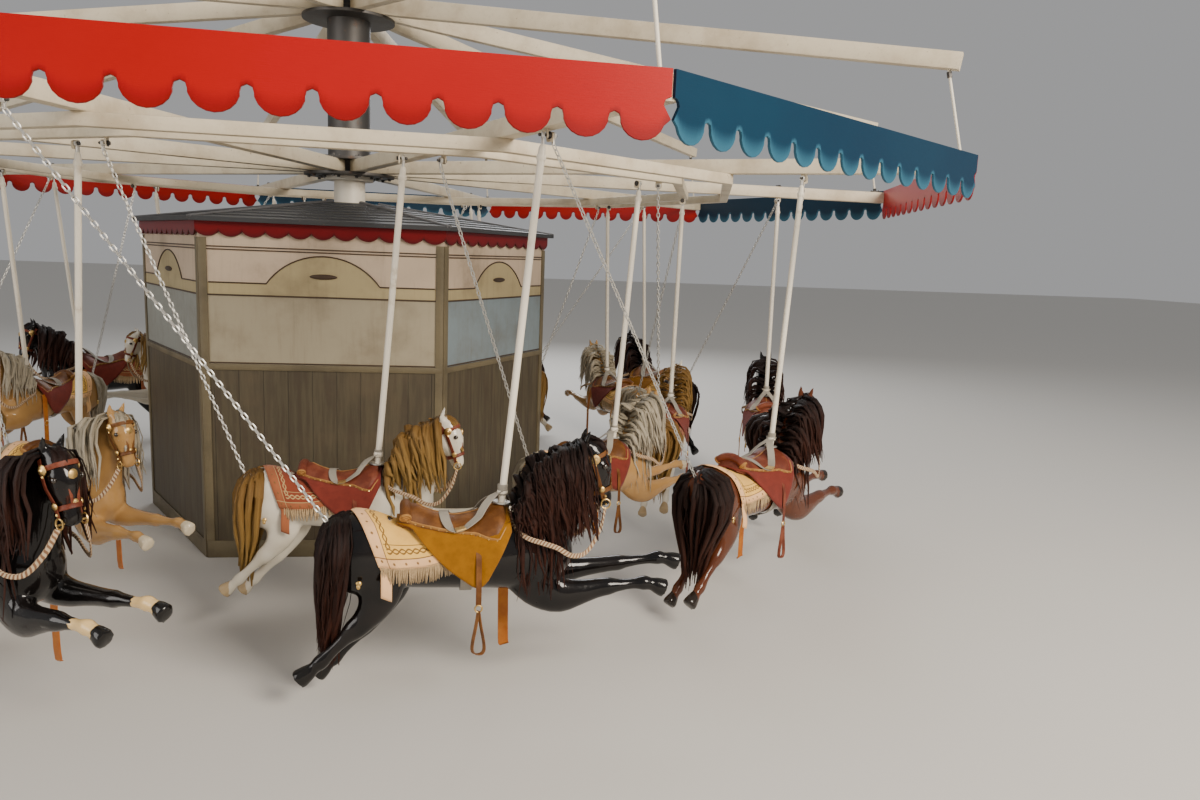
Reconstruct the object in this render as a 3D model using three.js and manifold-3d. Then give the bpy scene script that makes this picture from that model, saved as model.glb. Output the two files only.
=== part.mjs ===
// Fairground carousel with two rings of hung horses, in millimetres, +Z up.
// The origin is on the mast's axis at floor level. One bay is centred on -Y, and the horses
// on that side face +X, so the ring turns anticlockwise seen from above.
import * as THREE from "three";
import { mergeVertices } from "three/addons/utils/BufferGeometryUtils.js";
import Module from "manifold-3d";

const wasm = await Module();
wasm.setup();

// Ring layout
const BAYS = 10;
const BAY_ANGLE = (2 * Math.PI) / BAYS;
const HALF_BAY = BAY_ANGLE / 2;
const FIRST_SWEEP_ANGLE = -Math.PI / 2 + HALF_BAY;
const SEAT_GAP = 0.3;

// Valance boards round the rim
const CORNER_RADIUS = 4255;
const VALANCE_TOP = 2580;
const VALANCE_DROP = 232;
const VALANCE_THICKNESS = 12;
const VALANCE_END_GAP = 7;
const LOBES = 14;
const NOTCH_DEPTH = 87;
const NOTCH_HALF_WIDTH = 24;
const CORNER_HOLE_RADIUS = 26;

// Sweeps and ring beams, all of timber
const SWEEP_WIDTH = 80;
const SWEEP_BOTTOM = 2480;
const SWEEP_TOP = 2565;
const SWEEP_START = 180;
const BEAM_WIDTH = 60;
const BEAM_DEPTH = 60;
const OUTER_BEAM_RADIUS = 2870;

// Hang points of the two rings of horses
const PIN_DROP = 25;
const OUTER_HANG_RADIUS = 3330;
const OUTER_PIN_OFFSET = 25;
const OUTER_PIN_HEIGHT = SWEEP_BOTTOM - PIN_DROP;
const INNER_HANG_RADIUS = 2460;
const INNER_POLE_ANGLE = THREE.MathUtils.degToRad(8);
const INNER_CHAIN_ANGLE = THREE.MathUtils.degToRad(4);
const INNER_BEAM_RADIUS = (INNER_HANG_RADIUS * Math.cos(HALF_BAY - INNER_POLE_ANGLE)) / Math.cos(HALF_BAY);
const INNER_PIN_HEIGHT = SWEEP_BOTTOM - BEAM_DEPTH - PIN_DROP;

// Hang brackets, pins and eyes
const PIN_RADIUS = 6.2;
const PIN_SIDES = 8;
const CHEEK_GAP = 30;
const CHEEK_THICKNESS = 6;
const CHEEK_WIDTH = 40;
const CHEEK_BELOW_PIN = 13;
const EYE_RADIUS = 16;
const EYE_HOLE_RADIUS = 7.5;
const EYE_THICKNESS = 14;
const EYE_NECK = 38;
const EYE_NECK_LAP = 8;

// Poles and rear chains
const POLE_RADIUS = 16;
const CHAIN_RADIUS = 13;

// Mast, hub and raking rafters
const ROUND_SIDES = 12;
const MAST_RADIUS = 110;
const MAST_TOP = 3900;
const BORE_RADIUS = 115;
const SLEEVE_RADIUS = 150;
const FLANGE_RADIUS = 320;
const FLANGE_THICKNESS = 20;
const THRUST_COLLAR_RADIUS = 170;
const THRUST_COLLAR_HEIGHT = 30;
const FOOT_BEAM_WIDTH = 200;
const FOOT_BEAM_HEIGHT = 160;
const MAST_BASE_RADIUS = 260;
const MAST_BASE_THICKNESS = 30;
const RAFTER_SEAT = 3560;
const RAFTER_DEPTH = 120;
const RAFTER_WIDTH = 70;
const RAFTER_END_RADIUS = 4120;
const RAFTER_END_BOTTOM = 3020;
const RAFTER_END_DEPTH = 90;
const ROD_RADIUS = 8;
const ROD_TOP_RADIUS = 4060;
const ROD_FOOT_RADIUS = 4165;
const ROD_PAD = 60;
const ROD_PAD_THICKNESS = 8;

// Centre house, which stands a little turned from the ring at rest
const HOUSE_SIDES = 6;
const HOUSE_HALF_SIDE = Math.PI / HOUSE_SIDES;
const HOUSE_TURN = THREE.MathUtils.degToRad(-3);
const HOUSE_RADIUS = 1450;
const HOUSE_WALL = 25;
const HOUSE_HEIGHT = 2080;
const HOUSE_EAVES_RADIUS = 1510;
const HOUSE_EAVES_THICKNESS = 20;
const HOUSE_ROOF_TOP = 2270;
const HOUSE_ROOF_HOLE = 200;
const BAND_DROP = 88;
const BAND_THICKNESS = 12;
const BAND_LOBE_DEPTH = 34;
const BAND_LOBES = 11;

// Horse, in the sizes of the outer ring; the inner ring's horses are smaller
const OUTER_HORSE_SCALE = 1;
const INNER_HORSE_SCALE = 0.88;
const POLE_LEAN = 136;
const OUTER_POLE_DROP = 1547;
const INNER_POLE_DROP = 1490;
const RUMP_EYE = [-738, -92];
const LEG_SPREAD = 88;
const POLE_SINK = 120;
const CHAIN_SINK = 60;

const BOARD_RED = 0xc8141e;
const BOARD_BLUE = 0x0f4a66;
const FRAME_WHITE = 0xd9d3c4;
const STEEL_WHITE = 0xe6e2d8;
const HOUSE_GREY = 0x9aa0a0;
const BAND_RED = 0x7d1a1c;
const ROOF_GREY = 0x565a5c;
const IRON = 0x3c3b39;
const HORSE_BLACK = 0x14110f;
const HORSE_WHITE = 0xe3ded2;

function material(color, roughness, metalness = 0) {
  return new THREE.MeshStandardMaterial({ color, roughness, metalness });
}

// Turns a closed geometry into a solid for cutting and joining.
function solid(geometry) {
  const bare = geometry.index ? geometry.toNonIndexed() : geometry.clone();
  bare.deleteAttribute("normal");
  bare.deleteAttribute("uv");
  const merged = mergeVertices(bare, 1e-4);
  return new wasm.Manifold(
    new wasm.Mesh({
      numProp: 3,
      vertProperties: new Float32Array(merged.attributes.position.array),
      triVerts: new Uint32Array(merged.index.array),
    }),
  );
}

function geometryOf(manifold) {
  const mesh = manifold.getMesh();
  const geometry = new THREE.BufferGeometry();
  geometry.setAttribute("position", new THREE.BufferAttribute(mesh.vertProperties, 3));
  geometry.setIndex(new THREE.BufferAttribute(mesh.triVerts, 1));
  geometry.computeVertexNormals();
  return geometry;
}

function join(geometries) {
  const [first, ...rest] = geometries.map(solid);
  return geometryOf(rest.reduce((whole, piece) => whole.add(piece), first));
}

function box(low, high) {
  const size = high.map((value, axis) => value - low[axis]);
  const geometry = new THREE.BoxGeometry(...size);
  return geometry.translate(...low.map((value, axis) => value + size[axis] / 2));
}

// A prism of an outline [x, z], standing across y from -width/2 to width/2.
function prism(outline, width) {
  const shape = new THREE.Shape(outline.map(([x, z]) => new THREE.Vector2(x, z)));
  const geometry = new THREE.ExtrudeGeometry(shape, { depth: width, bevelEnabled: false });
  return geometry.translate(0, 0, -width / 2).rotateX(Math.PI / 2);
}

// A bar of few sides between two points.
function bar(start, end, radius, sides) {
  const from = new THREE.Vector3(...start);
  const to = new THREE.Vector3(...end);
  const along = to.clone().sub(from);
  const geometry = new THREE.CylinderGeometry(radius, radius, along.length(), sides);
  const turn = new THREE.Quaternion().setFromUnitVectors(new THREE.Vector3(0, 1, 0), along.normalize());
  const middle = from.add(to).multiplyScalar(0.5);
  return geometry.applyQuaternion(turn).translate(middle.x, middle.y, middle.z);
}

// A ring of flat sides between two corner radii, with the middle of one side on -Y.
function polygonRing(sides, outerRadius, innerRadius, bottom, top) {
  const corners = (radius) => [...Array(sides).keys()].map((side) => {
    const angle = -Math.PI / 2 + ((side + 0.5) * 2 * Math.PI) / sides;
    return new THREE.Vector2(radius * Math.cos(angle), radius * Math.sin(angle));
  });
  const shape = new THREE.Shape(corners(outerRadius));
  shape.holes.push(new THREE.Path(corners(innerRadius).reverse()));
  const extent = { depth: top - bottom, bevelEnabled: false };
  return new THREE.ExtrudeGeometry(shape, extent).translate(0, 0, bottom);
}

// The lower edge of a scalloped board: round lobes with narrow round-topped notches between them.
function scallops(halfLength, bottom, lobes, notchDepth, notchHalfWidth, arcPoints) {
  const pitch = (2 * halfLength) / lobes;
  const points = [];
  for (let lobe = 0; lobe < lobes; lobe += 1) {
    const middle = -halfLength + (lobe + 0.5) * pitch;
    const halfLobe = pitch / 2 - notchHalfWidth;
    for (let step = 0; step <= arcPoints; step += 1) {
      const angle = Math.PI + (Math.PI * step) / arcPoints;
      const lift = notchDepth * 0.72 * (1 + Math.sin(angle));
      points.push([middle + halfLobe * Math.cos(angle), bottom + lift]);
    }
    if (lobe < lobes - 1) {
      points.push([middle + pitch / 2, bottom + notchDepth]);
    }
  }
  return points;
}

// One board of the rim, with scallops below and a half-round hole in each end.
function valanceBoard() {
  const apothem = CORNER_RADIUS * Math.cos(HALF_BAY);
  const halfLength = CORNER_RADIUS * Math.sin(HALF_BAY) - VALANCE_END_GAP;
  const bottom = VALANCE_TOP - VALANCE_DROP;
  const holeHeight = VALANCE_TOP - VALANCE_DROP / 2;
  const hole = [-1, 0, 1].map((step) => {
    const angle = (step * Math.PI) / 3;
    return [CORNER_HOLE_RADIUS * Math.cos(angle), CORNER_HOLE_RADIUS * Math.sin(angle)];
  });
  const outline = [
    [-halfLength, VALANCE_TOP],
    [-halfLength, holeHeight + CORNER_HOLE_RADIUS],
    ...[...hole].reverse().map(([x, z]) => [-halfLength + x, holeHeight + z]),
    [-halfLength, holeHeight - CORNER_HOLE_RADIUS],
    ...scallops(halfLength, bottom, LOBES, NOTCH_DEPTH, NOTCH_HALF_WIDTH, 4),
    [halfLength, holeHeight - CORNER_HOLE_RADIUS],
    ...hole.map(([x, z]) => [halfLength - x, holeHeight + z]),
    [halfLength, holeHeight + CORNER_HOLE_RADIUS],
    [halfLength, VALANCE_TOP],
  ];
  return prism(outline, VALANCE_THICKNESS).translate(0, -apothem + VALANCE_THICKNESS / 2, 0);
}

// A plate hung from a beam above, with a pin along x that stands out on its side through the origin.
function hangBracket(side) {
  const near = side * CHEEK_GAP * 0.5;
  const far = near + side * CHEEK_THICKNESS;
  const plate = box(
    [Math.min(near, far), -CHEEK_WIDTH / 2, -CHEEK_BELOW_PIN],
    [Math.max(near, far), CHEEK_WIDTH / 2, PIN_DROP + 2],
  );
  const pin = bar([-near, 0, 0], [(near + far) / 2, 0, 0], PIN_RADIUS, PIN_SIDES);
  return [plate, pin];
}

function bracketAt(x, y, z, yaw, side) {
  return hangBracket(side).map((piece) => piece.rotateZ(yaw).translate(x, y, z));
}

// The sweep on the leading side of the hero bay, running out along +x before it is turned.
// Under it hang the pole bracket of its own bay and the chain bracket of the bay ahead.
function sweep() {
  const tip = (CORNER_RADIUS * Math.cos(HALF_BAY) - VALANCE_THICKNESS - SEAT_GAP) / Math.cos(HALF_BAY);
  const shoulder = tip - (SWEEP_WIDTH / 2) * Math.tan(HALF_BAY);
  const half = SWEEP_WIDTH / 2;
  const plan = new THREE.Shape(
    [[SWEEP_START, -half], [shoulder, -half], [tip, 0], [shoulder, half], [SWEEP_START, half]].map(
      ([x, y]) => new THREE.Vector2(x, y),
    ),
  );
  const depth = SWEEP_TOP - SWEEP_BOTTOM;
  const timber = new THREE.ExtrudeGeometry(plan, { depth, bevelEnabled: false });
  timber.translate(0, 0, SWEEP_BOTTOM);
  const brackets = [-1, 1].flatMap((side) => {
    const yaw = Math.PI / 2 + side * HALF_BAY;
    const x = OUTER_HANG_RADIUS + side * OUTER_PIN_OFFSET * Math.cos(yaw);
    const y = side * OUTER_PIN_OFFSET * Math.sin(yaw);
    return bracketAt(x, y, OUTER_PIN_HEIGHT, yaw, -side);
  });
  return join([timber, ...brackets]);
}

// Point on the inner ring beam's centre line, at an angle behind the hero bay's leading sweep.
function innerBeamPoint(behind) {
  const withinBay = ((behind % BAY_ANGLE) + BAY_ANGLE) % BAY_ANGLE;
  const radius = (INNER_BEAM_RADIUS * Math.cos(HALF_BAY)) / Math.cos(withinBay - HALF_BAY);
  const angle = FIRST_SWEEP_ANGLE - behind;
  return new THREE.Vector2(radius * Math.cos(angle), radius * Math.sin(angle));
}

const innerPoleTop = innerBeamPoint(INNER_POLE_ANGLE);
const innerChainTop = innerBeamPoint(BAY_ANGLE + INNER_CHAIN_ANGLE);
const innerChord = innerPoleTop.clone().sub(innerChainTop);
const innerYaw = innerChord.angle();

function innerRingBeam() {
  const edge = BEAM_WIDTH / 2 / Math.cos(HALF_BAY);
  const ring = polygonRing(
    BAYS,
    INNER_BEAM_RADIUS + edge,
    INNER_BEAM_RADIUS - edge,
    SWEEP_BOTTOM - BEAM_DEPTH,
    SWEEP_BOTTOM - SEAT_GAP,
  );
  const brackets = [...Array(BAYS).keys()].flatMap((bay) =>
    [[innerPoleTop, -1], [innerChainTop, 1]].flatMap(([point, side]) =>
      bracketAt(point.x, point.y, INNER_PIN_HEIGHT, innerYaw, side)
        .map((piece) => piece.rotateZ(bay * BAY_ANGLE)),
    ),
  );
  return join([ring, ...brackets]);
}

function outerRingBeam() {
  const edge = BEAM_WIDTH / 2 / Math.cos(HALF_BAY);
  return polygonRing(
    BAYS,
    OUTER_BEAM_RADIUS + edge,
    OUTER_BEAM_RADIUS - edge,
    SWEEP_BOTTOM - BEAM_DEPTH,
    SWEEP_BOTTOM - SEAT_GAP,
  );
}

// A raking rafter above each sweep, with the thin rod that carries the sweep's end.
function rafter() {
  const timber = prism(
    [
      [SWEEP_START, RAFTER_SEAT],
      [FLANGE_RADIUS, RAFTER_SEAT],
      [RAFTER_END_RADIUS, RAFTER_END_BOTTOM],
      [RAFTER_END_RADIUS, RAFTER_END_BOTTOM + RAFTER_END_DEPTH],
      [FLANGE_RADIUS, RAFTER_SEAT + RAFTER_DEPTH],
      [SWEEP_START, RAFTER_SEAT + RAFTER_DEPTH],
    ],
    RAFTER_WIDTH,
  );
  const padBottom = SWEEP_TOP + SEAT_GAP;
  const rod = bar(
    [ROD_FOOT_RADIUS, 0, padBottom + ROD_PAD_THICKNESS / 2],
    [ROD_TOP_RADIUS, 0, RAFTER_END_BOTTOM + RAFTER_END_DEPTH / 2],
    ROD_RADIUS,
    6,
  );
  const pad = box(
    [ROD_FOOT_RADIUS - ROD_PAD / 2, -ROD_PAD / 2, padBottom],
    [ROD_FOOT_RADIUS + ROD_PAD / 2, ROD_PAD / 2, padBottom + ROD_PAD_THICKNESS],
  );
  return join([timber, rod, pad]);
}

function lathe(profile) {
  const points = profile.map(([radius, height]) => new THREE.Vector2(radius, height));
  const geometry = new THREE.LatheGeometry(points, ROUND_SIDES).rotateX(Math.PI / 2);
  return geometryOf(solid(geometry));
}

function mast() {
  const collarTop = SWEEP_BOTTOM - FLANGE_THICKNESS - 2 * SEAT_GAP;
  return lathe([
    [0, FOOT_BEAM_HEIGHT + SEAT_GAP],
    [MAST_BASE_RADIUS, FOOT_BEAM_HEIGHT + SEAT_GAP],
    [MAST_BASE_RADIUS, FOOT_BEAM_HEIGHT + MAST_BASE_THICKNESS],
    [MAST_RADIUS, FOOT_BEAM_HEIGHT + MAST_BASE_THICKNESS],
    [MAST_RADIUS, collarTop - THRUST_COLLAR_HEIGHT],
    [THRUST_COLLAR_RADIUS, collarTop - THRUST_COLLAR_HEIGHT],
    [THRUST_COLLAR_RADIUS, collarTop],
    [MAST_RADIUS, collarTop],
    [MAST_RADIUS, MAST_TOP - MAST_RADIUS],
    [MAST_RADIUS * 0.7, MAST_TOP - MAST_RADIUS * 0.3],
    [0, MAST_TOP],
  ]);
}

// The turning sleeve round the mast, with flanges that hold the sweeps and the rafters.
function hub() {
  const flangePair = (seat, top) => [
    [FLANGE_RADIUS, seat - FLANGE_THICKNESS],
    [FLANGE_RADIUS, seat - SEAT_GAP],
    [SLEEVE_RADIUS, seat - SEAT_GAP],
    [SLEEVE_RADIUS, top + SEAT_GAP],
    [FLANGE_RADIUS, top + SEAT_GAP],
    [FLANGE_RADIUS, top + FLANGE_THICKNESS],
  ];
  const bottom = SWEEP_BOTTOM - FLANGE_THICKNESS;
  const rafterTop = RAFTER_SEAT + RAFTER_DEPTH;
  return lathe([
    [BORE_RADIUS, bottom],
    ...flangePair(SWEEP_BOTTOM, SWEEP_TOP),
    [SLEEVE_RADIUS, SWEEP_TOP + FLANGE_THICKNESS],
    [SLEEVE_RADIUS, RAFTER_SEAT - FLANGE_THICKNESS],
    ...flangePair(RAFTER_SEAT, rafterTop),
    [BORE_RADIUS, rafterTop + FLANGE_THICKNESS],
    [BORE_RADIUS, bottom],
  ]);
}

// A cross of two beams on the floor that reaches the centre house's walls, two in their corners.
function mastFoot() {
  const side = FOOT_BEAM_WIDTH / 2;
  const reach = HOUSE_RADIUS * Math.cos(HOUSE_HALF_SIDE) - HOUSE_WALL - SEAT_GAP;
  const cornerReach = (reach - side * Math.sin(HOUSE_HALF_SIDE)) / Math.cos(HOUSE_HALF_SIDE);
  return join([
    box([-cornerReach, -side, 0], [cornerReach, side, FOOT_BEAM_HEIGHT]),
    box([-side, -reach, 0], [side, reach, FOOT_BEAM_HEIGHT]),
    new THREE.CylinderGeometry(MAST_BASE_RADIUS, MAST_BASE_RADIUS, FOOT_BEAM_HEIGHT, ROUND_SIDES)
      .rotateX(Math.PI / 2)
      .translate(0, 0, FOOT_BEAM_HEIGHT / 2),
  ]);
}

function houseWalls() {
  const innerRadius = HOUSE_RADIUS - HOUSE_WALL / Math.cos(HOUSE_HALF_SIDE);
  return polygonRing(HOUSE_SIDES, HOUSE_RADIUS, innerRadius, 0, HOUSE_HEIGHT);
}

// A low roof with an eye for the mast, its sides in line with the walls.
function houseRoof() {
  const eaves = HOUSE_HEIGHT + SEAT_GAP;
  const points = [
    [HOUSE_ROOF_HOLE, eaves],
    [HOUSE_EAVES_RADIUS, eaves],
    [HOUSE_EAVES_RADIUS, eaves + HOUSE_EAVES_THICKNESS],
    [HOUSE_ROOF_HOLE, HOUSE_ROOF_TOP],
    [HOUSE_ROOF_HOLE, eaves],
  ].map(([radius, height]) => new THREE.Vector2(radius, height));
  const geometry = new THREE.LatheGeometry(points, HOUSE_SIDES);
  geometry.rotateX(Math.PI / 2).rotateZ(HOUSE_HALF_SIDE);
  return geometryOf(solid(geometry));
}

// The scalloped band under the eaves of the centre house, one board a side, joined at the corners.
function houseBand() {
  const apothem = HOUSE_RADIUS * Math.cos(HOUSE_HALF_SIDE) + SEAT_GAP;
  const top = HOUSE_HEIGHT - SEAT_GAP;
  const halfLength = (apothem + BAND_THICKNESS) * Math.tan(HOUSE_HALF_SIDE) - 0.5;
  const pitch = (2 * halfLength) / BAND_LOBES;
  const lobes = [...Array(BAND_LOBES).keys()].flatMap((lobe) => {
    const start = -halfLength + lobe * pitch;
    return [
      [start, top - BAND_DROP + BAND_LOBE_DEPTH],
      [start + pitch * 0.25, top - BAND_DROP],
      [start + pitch * 0.75, top - BAND_DROP],
    ];
  });
  const lobeTop = top - BAND_DROP + BAND_LOBE_DEPTH;
  const outline = [[-halfLength, top], ...lobes, [halfLength, lobeTop], [halfLength, top]];
  const boards = [...Array(HOUSE_SIDES).keys()].map((side) =>
    prism(outline, BAND_THICKNESS)
      .translate(0, -apothem - BAND_THICKNESS / 2, 0)
      .rotateZ(side * 2 * HOUSE_HALF_SIDE),
  );
  return join(boards);
}

// The closed form over a chain of oval sections [x, y, z, half width across, half size along up].
// Each section stands square to the line from the section before to the one after.
function limb(sections, sides) {
  const positions = [];
  sections.forEach(([x, y, z, across, along], index) => {
    const [bx, , bz] = sections[Math.max(index - 1, 0)];
    const [ax, , az] = sections[Math.min(index + 1, sections.length - 1)];
    const length = Math.hypot(ax - bx, az - bz);
    const up = [-(az - bz) / length, (ax - bx) / length];
    for (let step = 0; step < sides; step += 1) {
      const angle = ((step + 0.5) * 2 * Math.PI) / sides;
      const lift = along * Math.cos(angle);
      positions.push(x + up[0] * lift, y + across * Math.sin(angle), z + up[1] * lift);
    }
  });
  const indices = [];
  for (let ring = 0; ring + 1 < sections.length; ring += 1) {
    for (let step = 0; step < sides; step += 1) {
      const next = (step + 1) % sides;
      const [a, b] = [ring * sides + step, ring * sides + next];
      indices.push(a, a + sides, b, b, a + sides, b + sides);
    }
  }
  const last = (sections.length - 1) * sides;
  for (let step = 1; step + 1 < sides; step += 1) {
    indices.push(0, step, step + 1, last, last + step + 1, last + step);
  }
  const geometry = new THREE.BufferGeometry();
  geometry.setAttribute("position", new THREE.Float32BufferAttribute(positions, 3));
  geometry.setIndex(indices);
  return geometry;
}

// The carved horse with saddle and cloth. The origin is where the pole meets the withers.
function carvedHorse() {
  const barrel = limb(
    [[-757, 0, -190, 45, 60], [-640, 0, -195, 140, 150], [-360, 0, -250, 152, 142], [60, 0, -242, 152, 180],
      [308, 0, -240, 62, 72]],
    6,
  );
  const neckAndMane = limb(
    [[190, 0, -300, 110, 110], [215, 0, -80, 130, 165], [258, 0, 98, 100, 155], [345, 0, 190, 62, 80]],
    6,
  );
  const head = limb([[370, 0, 215, 48, 58], [412, 0, 110, 54, 74], [458, 0, -25, 36, 36]], 5);
  const tail = limb([[-690, 0, -100, 40, 40], [-720, 0, -290, 110, 75], [-740, -10, -640, 60, 42]], 4);
  const near = -LEG_SPREAD;
  const nearFore = limb(
    [[110, near, -330, 50, 105], [265, near, -420, 50, 84], [480, near, -388, 34, 38],
      [738, near, -383, 34, 38]],
    4,
  );
  const nearHind = limb(
    [[-570, near, -240, 52, 120], [-525, near, -380, 56, 100], [-625, near, -548, 36, 45],
      [-852, near, -760, 34, 38]],
    4,
  );
  const far = LEG_SPREAD;
  const farFore = limb(
    [[130, far, -320, 50, 85], [310, far, -362, 44, 56], [558, far, -343, 32, 35], [846, far, -317, 34, 36]],
    4,
  );
  const farHind = limb(
    [[-540, far, -250, 52, 115], [-490, far, -400, 56, 96], [-600, far, -612, 35, 43],
      [-796, far, -822, 34, 38]],
    4,
  );
  const saddle = limb([[-415, 0, -102, 105, 54], [-200, 0, -138, 158, 68], [25, 0, -88, 90, 75]], 4);
  return [barrel, neckAndMane, head, tail, nearFore, nearHind, farFore, farHind, saddle];
}

// A flat eye with its hole along x, and the neck below it that meets a pole or a chain.
function eye() {
  const ring = (radius, steps) => steps.map((step) => {
    const angle = (step * Math.PI) / 3;
    return new THREE.Vector2(radius * Math.cos(angle), radius * Math.sin(angle));
  });
  const shape = new THREE.Shape([
    ...ring(EYE_RADIUS, [5, 6, 7]),
    new THREE.Vector2(-EYE_NECK, 9),
    new THREE.Vector2(-EYE_NECK, -9),
  ]);
  shape.holes.push(new THREE.Path(ring(EYE_HOLE_RADIUS, [5, 4, 3, 2, 1, 0])));
  return new THREE.ExtrudeGeometry(shape, { depth: EYE_THICKNESS, bevelEnabled: false })
    .translate(0, 0, -EYE_THICKNESS / 2)
    .rotateY(-Math.PI / 2);
}

// One horse with its pole and its rear chain, joined where the chain's eye bolt enters the rump.
// The origin is the pole's pin, and the chain's pin lies behind it on the same level.
function hungHorse(scale, poleDrop, chord) {
  const foot = [-POLE_LEAN * scale, 0, -poleDrop];
  const carving = carvedHorse().map((piece) => piece.scale(scale, scale, scale).translate(...foot));
  const neckHeight = -EYE_NECK + EYE_NECK_LAP;
  const poleEnd = [foot[0], 0, foot[2] - POLE_SINK * scale];
  const pole = bar([0, 0, neckHeight], poleEnd, POLE_RADIUS, 6);
  const rump = [foot[0] + RUMP_EYE[0] * scale, 0, foot[2] + (RUMP_EYE[1] - CHAIN_SINK) * scale];
  const chain = bar([-chord, 0, neckHeight], rump, CHAIN_RADIUS, 4);
  return join([
    ...carving,
    pole,
    chain,
    eye(),
    eye().translate(-chord, 0, 0),
  ]);
}

const part = new THREE.Group();

function addPart(parent, name, geometry, finish) {
  const mesh = new THREE.Mesh(geometry, finish);
  mesh.name = name;
  parent.add(mesh);
  return mesh;
}

const white = () => material(FRAME_WHITE, 0.6);
const house = new THREE.Group();
house.rotation.z = HOUSE_TURN;
part.add(house);
addPart(house, "mast_foot", mastFoot(), material(IRON, 0.6, 0.6));
addPart(part, "mast", mast(), material(STEEL_WHITE, 0.5, 0.3));
addPart(house, "centre_house_walls", houseWalls(), material(HOUSE_GREY, 0.7));
addPart(house, "centre_house_band", houseBand(), material(BAND_RED, 0.5));
addPart(house, "centre_house_roof", houseRoof(), material(ROOF_GREY, 0.7));
addPart(part, "turning_hub", hub(), material(IRON, 0.5, 0.7));
addPart(part, "outer_ring_beam", outerRingBeam(), white());
addPart(part, "inner_ring_beam", innerRingBeam(), white());

const outerPoleX = OUTER_HANG_RADIUS * Math.sin(HALF_BAY) - OUTER_PIN_OFFSET;
const outerPlane = OUTER_HANG_RADIUS * Math.cos(HALF_BAY);
const boardShape = valanceBoard();
const sweepShape = sweep();
const rafterShape = rafter();
const outerHorseShape = hungHorse(OUTER_HORSE_SCALE, OUTER_POLE_DROP, 2 * outerPoleX);
const innerHorseShape = hungHorse(INNER_HORSE_SCALE, INNER_POLE_DROP, innerChord.length());

for (let bay = 0; bay < BAYS; bay += 1) {
  const number = String(bay + 1).padStart(2, "0");
  const frame = new THREE.Group();
  frame.rotation.z = bay * BAY_ANGLE;
  part.add(frame);
  addPart(frame, `valance_board_${number}`, boardShape, material(bay % 2 ? BOARD_BLUE : BOARD_RED, 0.45));
  addPart(frame, `sweep_${number}`, sweepShape, white()).rotation.z = FIRST_SWEEP_ANGLE;
  addPart(frame, `rafter_${number}`, rafterShape, white()).rotation.z = FIRST_SWEEP_ANGLE;
  addPart(frame, `outer_horse_${number}`, outerHorseShape, material(HORSE_BLACK, 0.25)).position.set(
    outerPoleX,
    -outerPlane,
    OUTER_PIN_HEIGHT,
  );
  const inner = addPart(frame, `inner_horse_${number}`, innerHorseShape, material(HORSE_WHITE, 0.3));
  inner.position.set(innerPoleTop.x, innerPoleTop.y, INNER_PIN_HEIGHT);
  inner.rotation.z = innerYaw;
}

export default part;
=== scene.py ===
import math

import bpy
import numpy as np
from mathutils import Matrix, Vector


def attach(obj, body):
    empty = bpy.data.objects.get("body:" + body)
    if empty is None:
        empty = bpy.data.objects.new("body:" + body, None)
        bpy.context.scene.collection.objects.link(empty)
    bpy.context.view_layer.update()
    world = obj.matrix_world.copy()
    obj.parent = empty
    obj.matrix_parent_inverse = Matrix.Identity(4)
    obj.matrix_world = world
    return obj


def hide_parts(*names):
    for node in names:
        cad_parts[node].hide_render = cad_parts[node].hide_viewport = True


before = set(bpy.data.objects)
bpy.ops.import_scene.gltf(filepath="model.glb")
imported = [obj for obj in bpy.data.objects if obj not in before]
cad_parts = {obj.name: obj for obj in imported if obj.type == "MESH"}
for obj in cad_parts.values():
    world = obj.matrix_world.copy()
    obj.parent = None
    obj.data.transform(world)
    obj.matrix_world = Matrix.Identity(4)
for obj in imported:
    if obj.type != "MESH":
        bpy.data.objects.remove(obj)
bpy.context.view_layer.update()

# Fairground carousel with two rows of hung horses. Lengths are metres in the frame of the packed
# model: the mast's axis is the z axis, the floor is z = 0, and the hero bay looks along -y.
BAYS = 10
BAY_ANGLE = 2 * math.pi / BAYS
HALF_BAY = BAY_ANGLE / 2
FIRST_SWEEP_ANGLE = -math.pi / 2 + HALF_BAY
SIDEWAYS = (0.0, 1.0, 0.0)
UPWARDS = (0.0, 0.0, 1.0)


# Driving sizes of the ring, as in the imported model

CORNER_RADIUS = 4.255
VALANCE_TOP = 2.580
VALANCE_DROP = 0.232
VALANCE_THICKNESS = 0.012
VALANCE_END_GAP = 0.007
LOBES = 14
LOBE_RADIUS = 0.070
NOTCH_RADIUS = 0.021
NOTCH_HEIGHT = 0.087
END_HOLE_RADIUS = 0.026
HUB_FLANGE_RADIUS = 0.32
HUB_SLEEVE_RADIUS = 0.15
HUB_BORE = 0.115
HUB_PLATE = 0.02
HUB_BOLT_CIRCLES = (0.2, 0.285)
RAFTER_SEAT = 3.56
RAFTER_DEPTH = 0.12
MAST_RADIUS = 0.11
MAST_TOP = 3.90
MAST_FLANGE_RADIUS = 0.26
COLLAR_RADIUS = 0.17
FOOT_HEIGHT = 0.16
TIMBER_START = 0.18
AXIS = 0.0004
SWEEP_BOTTOM = 2.480
SWEEP_TOP = 2.565
BEAM_DEPTH = 0.060
SWEEP_WIDTH = 0.080
SEAT_GAP = 0.0003
PIN_DROP = 0.025
OUTER_HANG_RADIUS = 3.330
OUTER_PIN_OFFSET = 0.025
OUTER_PIN_HEIGHT = SWEEP_BOTTOM - PIN_DROP
INNER_HANG_RADIUS = 2.460
INNER_PIN_HEIGHT = SWEEP_BOTTOM - BEAM_DEPTH - PIN_DROP
INNER_POLE_ANGLE = math.radians(8)
INNER_CHAIN_ANGLE = math.radians(4)
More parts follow.
